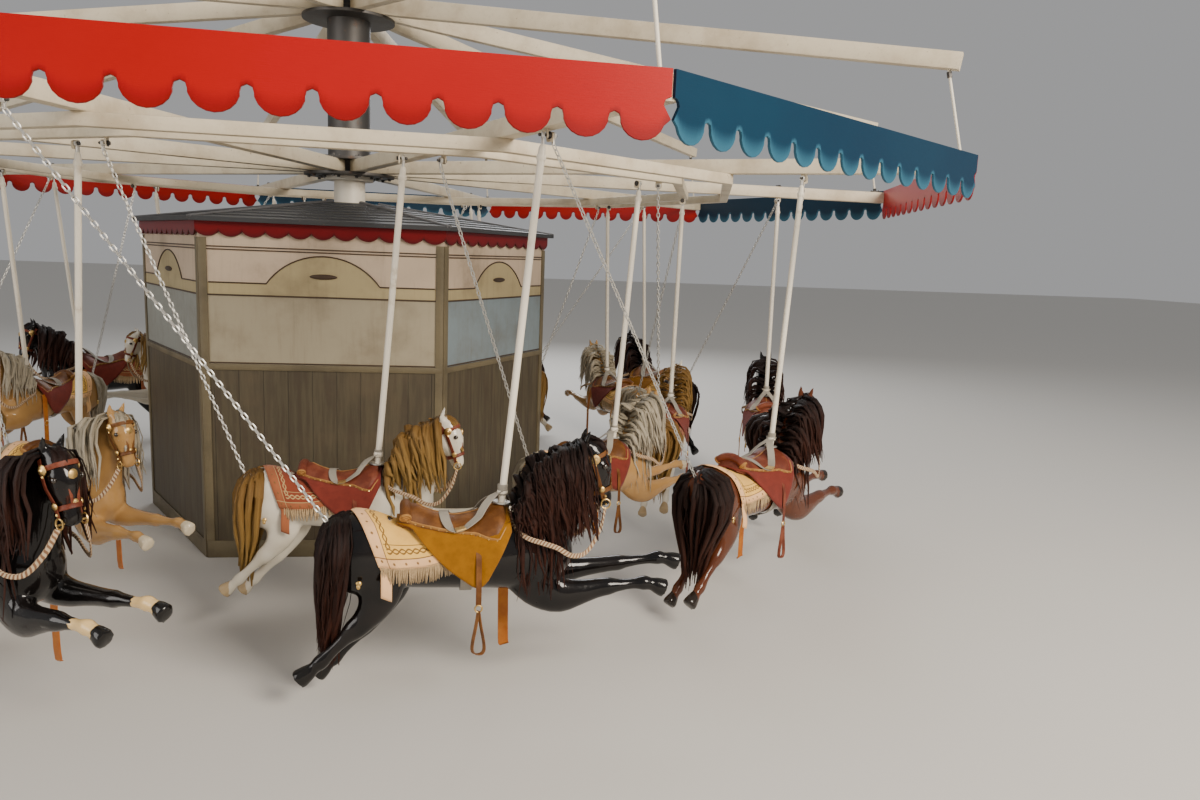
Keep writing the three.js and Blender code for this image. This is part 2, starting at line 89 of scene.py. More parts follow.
INNER_BEAM_RADIUS = INNER_HANG_RADIUS * math.cos(HALF_BAY - INNER_POLE_ANGLE) / math.cos(HALF_BAY)
OUTER_BEAM_RADIUS = 2.870

# Centre house: six sides, turned a little from the bays

HOUSE_SIDES = 6
HOUSE_HALF_SIDE = math.pi / HOUSE_SIDES
HOUSE_TURN = math.radians(-3)
HOUSE_RADIUS = 1.450
HOUSE_APOTHEM = HOUSE_RADIUS * math.cos(HOUSE_HALF_SIDE)
HOUSE_HALF_WIDTH = HOUSE_RADIUS * math.sin(HOUSE_HALF_SIDE)
HOUSE_WALL_THICKNESS = 0.025
HOUSE_HEIGHT = 2.080
HOUSE_EAVES_RADIUS = 1.510
HOUSE_ROOF_TOP = 2.270
SKIRTING_HEIGHT = 0.110
STILE_WIDTH = 0.048
STILE_TOP = 1.985
WALL_BOARD_WIDTH = 0.145
EYE_RADIUS = 0.2
DADO_HEIGHT = 1.210
RAIL_HEIGHT = 1.647
SPRING_HEIGHT = 1.721
ARCH_TOP = 1.895
ARCH_HALF_WIDTH = 0.335
ARCH_RADIUS = (ARCH_HALF_WIDTH ** 2 + (ARCH_TOP - SPRING_HEIGHT) ** 2) / (2 * (ARCH_TOP - SPRING_HEIGHT))


# Surfaces

class Shell:
    """A surface as arrays: points, four-sided and three-sided faces, and a UV pair for each face corner."""

    def __init__(self, points, quads=(), quad_uv=(), tris=(), tri_uv=(), finish=0):
        self.points = np.asarray(points, float).reshape(-1, 3)
        self.quads = np.asarray(quads, int).reshape(-1, 4)
        self.quad_uv = np.asarray(quad_uv, float).reshape(-1, 4, 2)
        self.tris = np.asarray(tris, int).reshape(-1, 3)
        self.tri_uv = np.asarray(tri_uv, float).reshape(-1, 3, 2)
        self.quad_finish = np.full(len(self.quads), finish)
        self.tri_finish = np.full(len(self.tris), finish)

    def placed(self, matrix):
        """The same surface moved by a 4 by 4 matrix."""
        points = self.points @ matrix[:3, :3].T + matrix[:3, 3]
        moved = Shell(points, self.quads, self.quad_uv, self.tris, self.tri_uv)
        moved.quad_finish, moved.tri_finish = self.quad_finish, self.tri_finish
        return moved

    def outward(self):
        """Turns the faces over if the volume that they enclose comes out negative."""
        p = self.points
        halves = np.concatenate([self.quads[:, [0, 1, 2]], self.quads[:, [0, 2, 3]], self.tris])
        a, b, c = (p[halves[:, k]] for k in range(3))
        if np.einsum("ij,ij->i", a, np.cross(b, c)).sum() < 0:
            self.quads, self.quad_uv = self.quads[:, ::-1], self.quad_uv[:, ::-1]
            self.tris, self.tri_uv = self.tris[:, ::-1], self.tri_uv[:, ::-1]
        return self


def together(shells):
    """One surface out of several, with the point numbers of each moved past those before it."""
    shells = list(shells)
    starts = np.cumsum([0] + [len(s.points) for s in shells[:-1]])
    whole = Shell(
        np.concatenate([s.points for s in shells]),
        np.concatenate([s.quads + start for s, start in zip(shells, starts)]),
        np.concatenate([s.quad_uv for s in shells]),
        np.concatenate([s.tris + start for s, start in zip(shells, starts)]),
        np.concatenate([s.tri_uv for s in shells]),
    )
    whole.quad_finish = np.concatenate([s.quad_finish for s in shells])
    whole.tri_finish = np.concatenate([s.tri_finish for s in shells])
    return whole


def grid(points, close_rows=False, close_columns=False, caps=False, finish=0):
    """Faces over an array of points [row, column]. A closed side joins its last line to its first,
    and caps shut the first and last rows with a fan to their middles."""
    points = np.asarray(points, float)
    rows, columns = points.shape[:2]
    across = rows if close_rows else rows - 1
    along_count = columns if close_columns else columns - 1
    i, j = (a.ravel() for a in np.meshgrid(np.arange(across), np.arange(along_count), indexing="ij"))

    def corner(down, right):
        return ((i + down) % rows) * columns + (j + right) % columns

    quads = np.stack([corner(0, 0), corner(0, 1), corner(1, 1), corner(1, 0)], 1)
    u = np.stack([i, i, i + 1, i + 1], 1) / across
    v = np.stack([j, j + 1, j + 1, j], 1) / along_count
    flat = points.reshape(-1, 3)
    tris, tri_uv = np.empty((0, 3), int), np.empty((0, 3, 2))
    if caps:
        around = np.arange(columns)
        onward = (around + 1) % columns
        last = (rows - 1) * columns
        first_middle, last_middle = len(flat), len(flat) + 1
        flat = np.concatenate([flat, points[0].mean(0)[None], points[-1].mean(0)[None]])
        tris = np.concatenate([
            np.stack([np.full(columns, first_middle), onward, around], 1),
            np.stack([np.full(columns, last_middle), last + around, last + onward], 1),
        ])
        tri_uv = np.zeros((2 * columns, 3, 2))
        tri_uv[columns:, :, 0] = 1.0
    shell = Shell(flat, quads, np.stack([u, v], -1), tris, tri_uv, finish)
    return shell.outward() if caps or (close_rows and close_columns) else shell


def unit(vectors):
    return vectors / np.maximum(np.linalg.norm(vectors, axis=-1, keepdims=True), 1e-12)


def carried(path, section, across=SIDEWAYS, scale=1.0, closed=False, finish=0, caps=True):
    """A flat section [m, 2] carried along a path [n, 3]. Its first axis lies towards `across`, made
    square to the path, its second square to both, and `scale` [n] or [n, 2] sizes it on the way."""
    path = np.asarray(path, float)
    section = np.asarray(section, float)
    step = np.roll(path, -1, 0) - np.roll(path, 1, 0) if closed else np.gradient(path, axis=0)
    tangent = unit(step)
    side = np.broadcast_to(np.asarray(across, float), path.shape)
    side = unit(side - (side * tangent).sum(-1, keepdims=True) * tangent)
    up = np.cross(tangent, side)
    size = np.asarray(scale, float)
    size = np.broadcast_to(size if size.ndim == 2 else size[..., None], (len(path), 2))
    offset = section[None] * size[:, None]
    points = path[:, None] + offset[..., :1] * side[:, None] + offset[..., 1:] * up[:, None]
    return grid(points, close_rows=closed, close_columns=True, caps=caps and not closed, finish=finish)


def ring_angles(count):
    """Angles of evenly spaced points round a circle."""
    return np.arange(count) * 2 * math.pi / count


def in_columns(*coordinates):
    """Points out of their coordinates, each an array or one number for all of them."""
    return np.stack(np.broadcast_arrays(*coordinates), -1)


def arc(radius, angles):
    """Points [n, 2] on a circle at the given angles."""
    return radius * in_columns(np.cos(angles), np.sin(angles))


def oval(sides, across=1.0, up=None, power=2.0):
    """Points round a superellipse: at angle a they lie at sign and 2/power-th power of cos a, sin a."""
    up = across if up is None else up
    c, s = (np.sign(part) * np.abs(part) ** (2 / power) for part in arc(1.0, ring_angles(sides)).T)
    return in_columns(across * c, up * s)


def rounded(width, height, radius, steps=3):
    """A rectangle with quarter-circle corners, anticlockwise."""
    turn = np.linspace(0, math.pi / 2, steps)
    corners = []
    for quarter, (sx, sy) in enumerate([(1, 1), (-1, 1), (-1, -1), (1, -1)]):
        middle = np.array([sx * (width / 2 - radius), sy * (height / 2 - radius)])
        corners.append(middle + arc(radius, turn + quarter * math.pi / 2))
    return np.concatenate(corners)


def straight(start, end, count=2):
    return np.linspace(np.asarray(start, float), np.asarray(end, float), count)


def rod(start, end, section, across=SIDEWAYS, count=2, finish=0):
    """A section carried along the straight line between two points."""
    return carried(straight(start, end, count), section, across, finish=finish)


def smooth(knots, count):
    """Points on a Catmull-Rom curve through the knots, evenly spaced in the knots' number."""
    knots = np.asarray(knots, float)
    t = np.linspace(0, len(knots) - 1, count)
    k = np.clip(t.astype(int), 0, len(knots) - 2)
    f = (t - k)[:, None]
    padded = np.concatenate([2 * knots[:1] - knots[1:2], knots, 2 * knots[-1:] - knots[-2:-1]])
    a, b, c, d = (padded[k + n] for n in range(4))
    return 0.5 * (
        2 * b + (c - a) * f + (2 * a - 5 * b + 4 * c - d) * f ** 2 + (3 * b - a - 3 * c + d) * f ** 3)


def lathe(profile, sides):
    """A profile [n, 2] of radius and height turned round the z axis and joined end to end."""
    profile = np.asarray(profile, float)
    radius, height = profile[:, :1], profile[:, 1:]
    c, s = arc(1.0, ring_angles(sides)).T
    return grid(in_columns(radius * c, radius * s, height), close_rows=True, close_columns=True)


def softened(profile, radius):
    """The corners of a closed profile cut by three points each at the given distance."""
    profile = np.asarray(profile, float)
    before = unit(np.roll(profile, 1, 0) - profile)
    after = unit(np.roll(profile, -1, 0) - profile)
    a, b = profile + before * radius, profile + after * radius
    middle = 0.25 * a + 0.5 * profile + 0.25 * b
    return np.stack([a, middle, b], 1).reshape(-1, 2)


def ball(centre, radius, rows=7, columns=12, finish=0):
    """A sphere, or an ellipsoid where radius has three values, from circles of latitude. Small flat
    caps shut it at both poles."""
    cap = 0.12
    latitude = np.linspace(cap, math.pi - cap, rows)[:, None]
    c, s = arc(1.0, ring_angles(columns)).T
    points = in_columns(np.sin(latitude) * c, np.sin(latitude) * s, np.cos(latitude))
    return grid(np.asarray(centre) + points * radius, close_columns=True, caps=True, finish=finish)


def turned(angle, shift=(0, 0, 0), scale=1.0):
    """The 4 by 4 matrix that scales, turns about z and then shifts."""
    c, s = math.cos(angle) * scale, math.sin(angle) * scale
    return np.array([[c, -s, 0, shift[0]], [s, c, 0, shift[1]], [0, 0, scale, shift[2]], [0, 0, 0, 1]], float)


def mesh_of(name, shell):
    """A Blender mesh of a surface, with its UVs and finish numbers."""
    mesh = bpy.data.meshes.new(name)
    corners = np.concatenate([shell.quads.ravel(), shell.tris.ravel()])
    sizes = np.concatenate([np.full(len(shell.quads), 4), np.full(len(shell.tris), 3)])
    finish = np.concatenate([shell.quad_finish, shell.tri_finish])
    mesh.vertices.add(len(shell.points))
    mesh.vertices.foreach_set("co", shell.points.astype(np.float32).ravel())
    mesh.loops.add(len(corners))
    mesh.loops.foreach_set("vertex_index", corners.astype(np.int32))
    mesh.polygons.add(len(sizes))
    mesh.polygons.foreach_set("loop_start", (np.cumsum(sizes) - sizes).astype(np.int32))
    mesh.polygons.foreach_set("loop_total", sizes.astype(np.int32))
    mesh.polygons.foreach_set("material_index", finish.astype(np.int32))
    mesh.polygons.foreach_set("use_smooth", np.full(len(sizes), True))
    layer = mesh.uv_layers.new(name="UVMap")
    uv = np.concatenate([shell.quad_uv.reshape(-1, 2), shell.tri_uv.reshape(-1, 2)])
    layer.data.foreach_set("uv", uv.astype(np.float32).ravel())
    mesh.validate()
    mesh.update(calc_edges=True)
    return mesh


def surface_after(mesh, *steps):
    """The surface that a mesh has after modifiers, each given as its kind and its settings."""
    spare = bpy.data.objects.new("spare", mesh)
    bpy.context.scene.collection.objects.link(spare)
    for number, (kind, settings) in enumerate(steps):
        modifier = spare.modifiers.new(f"step_{number}", kind)
        for setting, value in settings.items():
            setattr(modifier, setting, value)
    bpy.context.view_layer.update()
    made = spare.evaluated_get(bpy.context.evaluated_depsgraph_get()).to_mesh()
    points = np.empty(len(made.vertices) * 3, np.float32)
    made.vertices.foreach_get("co", points)
    sizes, finish = (np.empty(len(made.polygons), np.int32) for _ in range(2))
    made.polygons.foreach_get("loop_total", sizes)
    made.polygons.foreach_get("material_index", finish)
    corners = np.empty(len(made.loops), np.int32)
    made.loops.foreach_get("vertex_index", corners)
    uv = np.zeros(len(corners) * 2, np.float32)
    if made.uv_layers:
        made.uv_layers[0].data.foreach_get("uv", uv)
    uv = uv.reshape(-1, 2)
    starts = np.cumsum(sizes) - sizes
    four = starts[sizes == 4][:, None] + np.arange(4)
    three = starts[sizes == 3][:, None] + np.arange(3)
    bpy.data.objects.remove(spare)
    bpy.data.meshes.remove(mesh)
    surface = Shell(points, corners[four], uv[four], corners[three], uv[three])
    surface.quad_finish, surface.tri_finish = finish[sizes == 4], finish[sizes == 3]
    return surface


def thinned(shell, share):
    """About the same surface with this share of its triangles."""
    return surface_after(mesh_of("spare", shell), ("DECIMATE", {"ratio": share}))


def add_piece(name, shell, body, finishes, stands_for=(), marks=None, crease=38):
    """Edges that turn by more than the crease, in degrees, are sharp."""
    mesh = mesh_of(name, shell)
    for mark, values in (marks or {}).items():
        kind, field = ("FLOAT", "value") if np.ndim(values) == 1 else ("FLOAT_VECTOR", "vector")
        attribute = mesh.attributes.new(mark, kind, "POINT")
        attribute.data.foreach_set(field, np.asarray(values, np.float32).ravel())
    for finish in finishes:
        mesh.materials.append(finish)
    mesh.set_sharp_from_angle(angle=math.radians(crease))
    piece = bpy.data.objects.new(name, mesh)
    bpy.context.scene.collection.objects.link(piece)
    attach(piece, body)
    if stands_for:
        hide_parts(*stands_for)
    return piece


# Shader maths

class Value:
    """A number on a surface: arithmetic on it adds Math nodes to the finish it belongs to."""

    def __init__(self, finish, socket):
        self.finish, self.socket = finish, socket

    def maths(self, operation, *others):
        return self.finish.node("ShaderNodeMath", {"operation": operation}, self, *others)

    def __add__(self, other):
        return self.maths("ADD", other)

    def __mul__(self, other):
        return self.maths("MULTIPLY", other)

    def __sub__(self, other):
        return self.maths("SUBTRACT", other)

    def __gt__(self, other):
        return self.maths("GREATER_THAN", other)

    def __rsub__(self, other):
        return self.finish.node("ShaderNodeMath", {"operation": "SUBTRACT"}, other, self)

    __radd__, __rmul__ = __add__, __mul__

    def step(self, low, high):
        """0 below low and 1 above high, with a smooth rise between."""
        return self.finish.node(
            "ShaderNodeMapRange", {"interpolation_type": "SMOOTHSTEP"}, self, low, high, 0.0, 1.0)

    def repeat(self, length):
        """0 halfway between two whole multiples of length, rising to 0.5 at each of them."""
        return self.maths("DIVIDE", length).maths("FRACT").maths("SUBTRACT", 0.5).maths("ABSOLUTE")


class Finish:
    """A material under construction, with one Principled shader."""

    def __init__(self, name, **constants):
        self.material = bpy.data.materials.new(name)
        self.material.use_nodes = True
        self.tree = self.material.node_tree
        self.shader = self.tree.nodes["Principled BSDF"]
        for socket, value in constants.items():
            self.feed(self.shader.inputs[socket.replace("_", " ").title().replace("Ior", "IOR")], value)

    def feed(self, socket, value):
        """Links a value to a socket, or sets a constant there."""
        if isinstance(value, Value):
            self.tree.links.new(value.socket, socket)
        elif value is not None:
            is_colour = np.ndim(value) and len(socket.default_value) == 4
            socket.default_value = (*value, 1.0) if is_colour else value

    def node(self, kind, settings, *inputs, out=0, **named):
        """Adds a node, applies its settings, and sets or links its inputs in order or by name."""
        made = self.tree.nodes.new(kind)
        for key, value in settings.items():
            setattr(made, key, value)
        for socket, value in [*zip(made.inputs, inputs), *((made.inputs[k], v) for k, v in named.items())]:
            self.feed(socket, value)
        return Value(self, made.outputs[out])

    def place(self, stretch=(1, 1, 1)):
        """Object coordinates, scaled by a Mapping node."""
        return self.node("ShaderNodeMapping", {}, self.node("ShaderNodeTexCoord", {}, out=3), Scale=stretch)

    def uv(self):
        """The piece's own UV map as two values."""
        u = self.node("ShaderNodeSeparateXYZ", {}, self.node("ShaderNodeUVMap", {}))
        return u, Value(self, u.socket.node.outputs[1])

    def mark(self, name):
        """A point attribute of the piece, as a value."""
        return self.node("ShaderNodeAttribute", {"attribute_name": name}, out=2)

    def horse_place(self):
        """Where the point lies in the horse's own frame."""
        return self.node("ShaderNodeAttribute", {"attribute_name": "horse_place"}, out=1)

    def noise(self, place, scale, detail=3.0, roughness=0.55):
        return self.node(
            "ShaderNodeTexNoise", {}, Vector=place, Scale=scale, Detail=detail, Roughness=roughness)

    def mix(self, share, first, second):
        """A colour between two, by share."""
        return self.node("ShaderNodeMix", {"data_type": "RGBA"}, share, *[None] * 5, first, second, out=2)

    def finished(self, colour, roughness, bump, metallic=None):
        """Feeds the shader and returns the material. A bump is a height, its size in metres and its
        strength. What is None keeps the constant it has."""
        height, distance, strength = bump
        normal = self.node("ShaderNodeBump", {}, Strength=strength, Distance=distance, Height=height)
        fed = {"Base Color": colour, "Roughness": roughness, "Metallic": metallic, "Normal": normal}
        for socket, value in fed.items():
            self.feed(self.shader.inputs[socket], value)
        return self.material


def lacquer(name, colour, worn_colour, hoof_colour, sock_colour=None):
    """Gloss lacquer on carved wood: fine ripples, dulled patches, worn edges, hooves and perhaps socks."""
    f = Finish(name, coat_weight=0.38, coat_roughness=0.05, specular_ior_level=0.22)
    place = f.horse_place()
    patches = f.noise(place, 7.0, 4.0)
    grain = f.noise(place, 40.0, 4.0, 0.6)
    worn = f.noise(place, 16.0, 6.0, 0.7).step(0.63, 0.72)
    base = f.mix(patches.step(0.35, 0.7) * 0.35, colour, worn_colour)
    base = f.mix(worn * 0.35, base, worn_colour)
    hoof = f.mark("hoof")
    if sock_colour is not None:
        base = f.mix(hoof.step(0.2, 0.3), base, sock_colour)
    base = f.mix(hoof.step(0.7, 0.8), base, hoof_colour)
    return f.finished(base, 0.11 + patches * 0.12 + worn * 0.15, (grain * 0.5 + patches, 0.0035, 0.5))


def painted_timber(name, colour, dirt_colour):
    """Old paint on timber: brush streaks, grime in patches, small chips and fine cracks."""
    f = Finish(name)
    place = f.place()
    streaks = f.noise(f.place((3.0, 3.0, 3.0)), 14.0, 6.0, 0.65)
    grime = f.noise(place, 3.2, 5.0, 0.6)
    chips = f.noise(place, 38.0, 5.0, 0.7).step(0.66, 0.7)
    base = f.mix(grime.step(0.42, 0.72) * 0.55, colour, dirt_colour)
    base = f.mix(streaks.step(0.5, 0.8) * 0.25, base, dirt_colour)
    base = f.mix(chips * 0.7, base, BARE_WOOD)
    return f.finished(base, 0.42 + grime * 0.22 + chips * 0.2, (streaks * 0.6 - chips * 0.8, 0.0012, 0.7))


def gloss_board(name, colour, faded_colour, edge_colour):
    """Bright gloss paint on a board: soft fading, faint streaks, scratches, and a tint towards the scalloped
    lower edge, lighter on the blue boards and darker on the red ones and the house band.
    """
    f = Finish(name, coat_weight=0.08, coat_roughness=0.3, specular_ior_level=0.22)
    fading = f.noise(f.place(), 1.3, 3.0)
    grain = f.noise(f.place((6, 6, 60)), 4.0, 5.0, 0.6)
    scratches = f.noise(f.place((2, 2, 30)), 22.0, 4.0, 0.7).step(0.68, 0.74)
    # The edge mark rises from mid-height to the scallops, so the lower part of the face turns towards
    # edge_colour; scratches add to it.
    rubbed = (f.mark("edge").step(0.35, 1.0) * 0.65 + scratches * 0.25).maths("MINIMUM", 1.0)
    base = f.mix(fading.step(0.3, 0.75) * 0.6, colour, faded_colour)
    base = f.mix(grain.step(0.45, 0.8) * 0.2, base, faded_colour)
    base = f.mix(rubbed, base, edge_colour)
    return f.finished(base, 0.34 + fading * 0.16 + scratches * 0.2, (grain + scratches * 0.4, 0.0008, 0.5))


def metal(name, colour, stain_colour, metallic, roughness, scale):
    """Metal with stains and fine pitting; painted where metallic is 0."""
    f = Finish(name)
    place = f.place()
    stains = f.noise(place, scale * 0.3, 5.0, 0.65)
    pits = f.noise(place, scale * 6, 3.0)
    rust = stains.step(0.58, 0.72)
    base = f.mix(rust * 0.7, colour, stain_colour)
    rough = roughness + stains * 0.22 + rust * 0.15
    return f.finished(base, rough, (pits + stains, 0.0006, 0.6), (1 - rust) * metallic)


def leather(name, colour, rubbed_colour):
    """Saddle leather: pebbled grain, creases, and paler rubbed patches."""
    f = Finish(name, specular_ior_level=0.28)
    place = f.horse_place()
    pebbles = f.node("ShaderNodeTexVoronoi", {"feature": "F1"}, Vector=place, Scale=420.0)
    rubbed = f.noise(place, 14.0, 5.0, 0.6)
    creases = f.noise(place, 45.0, 6.0, 0.7)
    base = f.mix(rubbed.step(0.38, 0.7), colour, rubbed_colour)
    return f.finished(base, 0.30 + rubbed * 0.25, (pebbles * 0.5 + creases, 0.0012, 0.8))


def felt(name, colour, dark_colour):
    """Thick felt: matted fibres and soft mottling."""
    f = Finish(name, sheen_weight=0.10, sheen_roughness=0.5, roughness=0.95, specular_ior_level=0.2)
    place = f.horse_place()
    mottle = f.noise(place, 22.0, 5.0, 0.6)
    fibres = f.noise(place, 260.0, 5.0, 0.75)
    base = f.mix(mottle.step(0.3, 0.75) * 0.6 + fibres * 0.25, colour, dark_colour)
    return f.finished(base, None, (fibres + mottle * 0.5, 0.0018, 0.9))


def blanket_cloth(name, colour, shade_colour, band_colour, stitch_colour):
    """Woven blanket that reads its own distances from the rear edge and the hem, in metres: a paler
    rear band and hem with rows of studs, and a scrolled line of stitches inside them."""
    wave_length, wave_height, stitch_width, edge_width = 0.062, 0.008, 0.0042, 0.0024
    f = Finish(name, roughness=0.9, sheen_weight=0.08, specular_ior_level=0.25)
    rear, hem = f.mark("from_rear"), f.mark("from_hem")
    weave = (rear.repeat(0.004) + hem.repeat(0.004)) * 0.7
    soil = f.noise(f.horse_place(), 9.0, 5.0, 0.6)
    beyond_band = rear > 0.06

    def line(distance, width):
        return 1 - distance.maths("ABSOLUTE").step(width * 0.5, width)

    def scrolls(along, across):
        """Two stitched lines along an edge that wave against each other."""
        angle = along * (2 * math.pi / wave_length)
        first, second = ((angle + phase).maths("SINE") * wave_height for phase in (0.0, math.pi))
        return line(across - first, stitch_width) + line(across - second, stitch_width)

    def stud_row(along, across, spacing):
        beside = along.repeat(spacing) * spacing
        return 1 - (beside * beside + across * across).maths("SQRT").step(0.0042, 0.0058)

    band = 1 - rear.step(0.052, 0.056) * hem.step(0.034, 0.037)
    inside = (1 - band) * beyond_band
    edges = line(rear - 0.054, edge_width) + line(hem - 0.0355, edge_width)
    edges = edges + line(hem - 0.085, 0.0018) * inside
    rear_scrolls = scrolls(hem, rear - 0.078) * (hem > 0.072)
    hem_scrolls = scrolls(rear, hem - 0.062) * (rear > 0.068)
    stitches = ((rear_scrolls + hem_scrolls) * inside + edges).maths("MINIMUM", 1.0)
    studs = stud_row(hem, rear - 0.028, 0.048) + stud_row(rear, hem - 0.018, 0.054) * beyond_band
    base = f.mix(soil.step(0.35, 0.75) * 0.5, colour, shade_colour)
    base = f.mix(band, base, f.mix(soil.step(0.4, 0.7) * 0.4, band_colour, shade_colour))
    base = f.mix(stitches * 0.85, base, stitch_colour)
    base = f.mix(studs * 0.9, base, (0.20, 0.105, 0.035))
    return f.finished(base, None, (weave * 0.35 + stitches * 0.5 + studs * 1.4 + soil * 0.4, 0.002, 0.8))


def strands(name, colour, tip_colour, shine):
    """Hair or fringe in locks: UV u runs along a lock, and fine streaks run with it."""
    f = Finish(name, specular_ior_level=0.25)
    u, v = f.uv()
    place = f.node("ShaderNodeCombineXYZ", {}, u * 1.5, v * 30.0, f.mark("lock") * 17.0)
    streaks = f.node("ShaderNodeTexNoise", {}, Vector=place, Scale=3.0, Detail=4.0)
    base = f.mix((u * 0.5 + streaks * 0.9 - 0.35).step(0.05, 0.95), colour, tip_colour)
    return f.finished(base, shine + streaks * 0.25, (streaks, 0.004, 0.9))


def braided(name, first_colour, second_colour, pitch):
    """A flat braid or webbing: slanting bands of two colours across the strap's UVs."""
    f = Finish(name, roughness=0.75)
    u, v = f.uv()
    bands = (u * pitch + (v * 2 - 1).maths("ABSOLUTE") * 1.2).maths("FRACT")
    mask = (bands - 0.5).maths("ABSOLUTE").step(0.2, 0.3)
    return f.finished(f.mix(mask, first_colour, second_colour), None, (bands.repeat(1.0), 0.002, 0.8))


def house_wall(name):
    """Paint on a side of the centre house, on UVs in metres from the middle of its foot: upright boards
    below the dado painted dark brown as painted shade from the ride in front, a plain panel up to the
    rail, an olive field inside the arch and cream around it."""
    f = Finish(name, coat_weight=0.05, coat_roughness=0.4)
    u, v = f.uv()
    grime = f.noise(f.place(), 2.4, 5.0, 0.65)
    runs = f.noise(f.place((9, 9, 0.8)), 4.0, 5.0, 0.6)
    grain = f.noise(f.place((8, 8, 1)), 9.0, 6.0, 0.65)
    above = v - (ARCH_TOP - ARCH_RADIUS)
    from_centre = (u * u + above * above).maths("SQRT")
    in_arch = 1 - from_centre.step(ARCH_RADIUS - 0.0065, ARCH_RADIUS - 0.0005)
    in_arch = in_arch.maths("MAXIMUM", 1 - v.step(SPRING_HEIGHT - 0.003, SPRING_HEIGHT + 0.001))
    # Below the dado the wall is painted dark brown: painted shade, with dark joints drawn between the boards.
    low = 1 - v.step(DADO_HEIGHT - 0.005, DADO_HEIGHT + 0.005)
    joints = (u + WALL_BOARD_WIDTH / 2).repeat(WALL_BOARD_WIDTH).step(0.482, 0.497) * low
    panel = f.mix(f.mark("cool"), (0.36, 0.31, 0.21), (0.20, 0.25, 0.27))
    base = f.mix(in_arch, (0.55, 0.43, 0.31), (0.42, 0.34, 0.18))
    base = f.mix(1 - v.step(RAIL_HEIGHT - 0.003, RAIL_HEIGHT + 0.003), base, panel)
    # Painted shade on the lower boards, in two dark browns that the runs blend.
    base = f.mix(low, base, f.mix(runs.step(0.3, 0.7), (0.085, 0.068, 0.036), (0.05, 0.036, 0.02)))
    base = f.mix(joints * 0.8, base, (0.012, 0.009, 0.006))
    base = f.mix(grime.step(0.42, 0.78) * 0.5 + runs.step(0.5, 0.8) * 0.2, base, (0.12, 0.085, 0.045))
    return f.finished(base, 0.48 + grime * 0.25, (grain * 0.4 - joints * 2.0, 0.0015, 0.8))


BARE_WOOD = (0.16, 0.1, 0.055)
# The last colour of each board is its tint towards the scalloped edge: lighter than the paint on the blue
# boards, darker on the red ones.
RED_BOARD = gloss_board("red_board", (0.36, 0.0006, 0.001), (0.42, 0.002, 0.002), (0.16, 0.001, 0.002))
BLUE_BOARD = gloss_board("blue_board", (0.002, 0.024, 0.054), (0.004, 0.036, 0.070), (0.04, 0.16, 0.24))
CREAM_TIMBER = painted_timber("cream_timber", (0.66, 0.58, 0.43), (0.36, 0.27, 0.16))
POLE_PAINT = metal("pole_paint", (0.76, 0.70, 0.58), (0.5, 0.42, 0.3), 0.0, 0.3, 24.0)
ZINC = metal("zinc_chain", (0.62, 0.61, 0.57), (0.34, 0.27, 0.19), 0.85, 0.34, 60.0)
IRON = metal("dark_iron", (0.09, 0.085, 0.08), (0.16, 0.075, 0.035), 0.8, 0.42, 30.0)
BRASS = metal("brass", (0.68, 0.46, 0.17), (0.22, 0.13, 0.05), 1.0, 0.28, 60.0)
HOUSE_WALL = house_wall("house_wall")
HOUSE_TRIM = painted_timber("house_trim", (0.15, 0.12, 0.065), (0.06, 0.045, 0.025))
HOUSE_LINE = painted_timber("house_line", (0.055, 0.030, 0.014), (0.03, 0.018, 0.01))
HOUSE_BAND = gloss_board("house_band", (0.14, 0.002, 0.004), (0.19, 0.006, 0.007), (0.05, 0.003, 0.004))
ROOF_BOARDS = painted_timber("roof_boards", (0.036, 0.038, 0.042), (0.018, 0.016, 0.014))
ROOF_LEAD = painted_timber("roof_lead", (0.10, 0.10, 0.105), (0.05, 0.045, 0.04))


# Rim boards

def valance_outline():
    """The lower edge [n, 2] from end to end: each lobe is most of a circle, and between two lobes a
    narrow notch closes in a half circle. Also returns half the board's length."""
    half_length = CORNER_RADIUS * math.sin(HALF_BAY) - VALANCE_END_GAP
    pitch = 2 * half_length / LOBES
    bottom = VALANCE_TOP - VALANCE_DROP
    lobe_middle = bottom + LOBE_RADIUS
    lobe = arc(LOBE_RADIUS, np.linspace(math.radians(196), math.radians(344), 9))
    lobe[:, 0] *= (pitch / 2 - NOTCH_RADIUS) / abs(lobe[0, 0])
    notch = arc(NOTCH_RADIUS, np.linspace(math.radians(190), math.radians(-10), 5))
    edge = []
    for number in range(LOBES):
        middle = -half_length + (number + 0.5) * pitch
        edge.append(lobe + [middle, lobe_middle])
        if number < LOBES - 1:
            edge.append(notch + [middle + pitch / 2, bottom + NOTCH_HEIGHT - NOTCH_RADIUS])
    return np.concatenate([[[-half_length, lobe_middle]], *edge, [[half_length, lobe_middle]]]), half_length


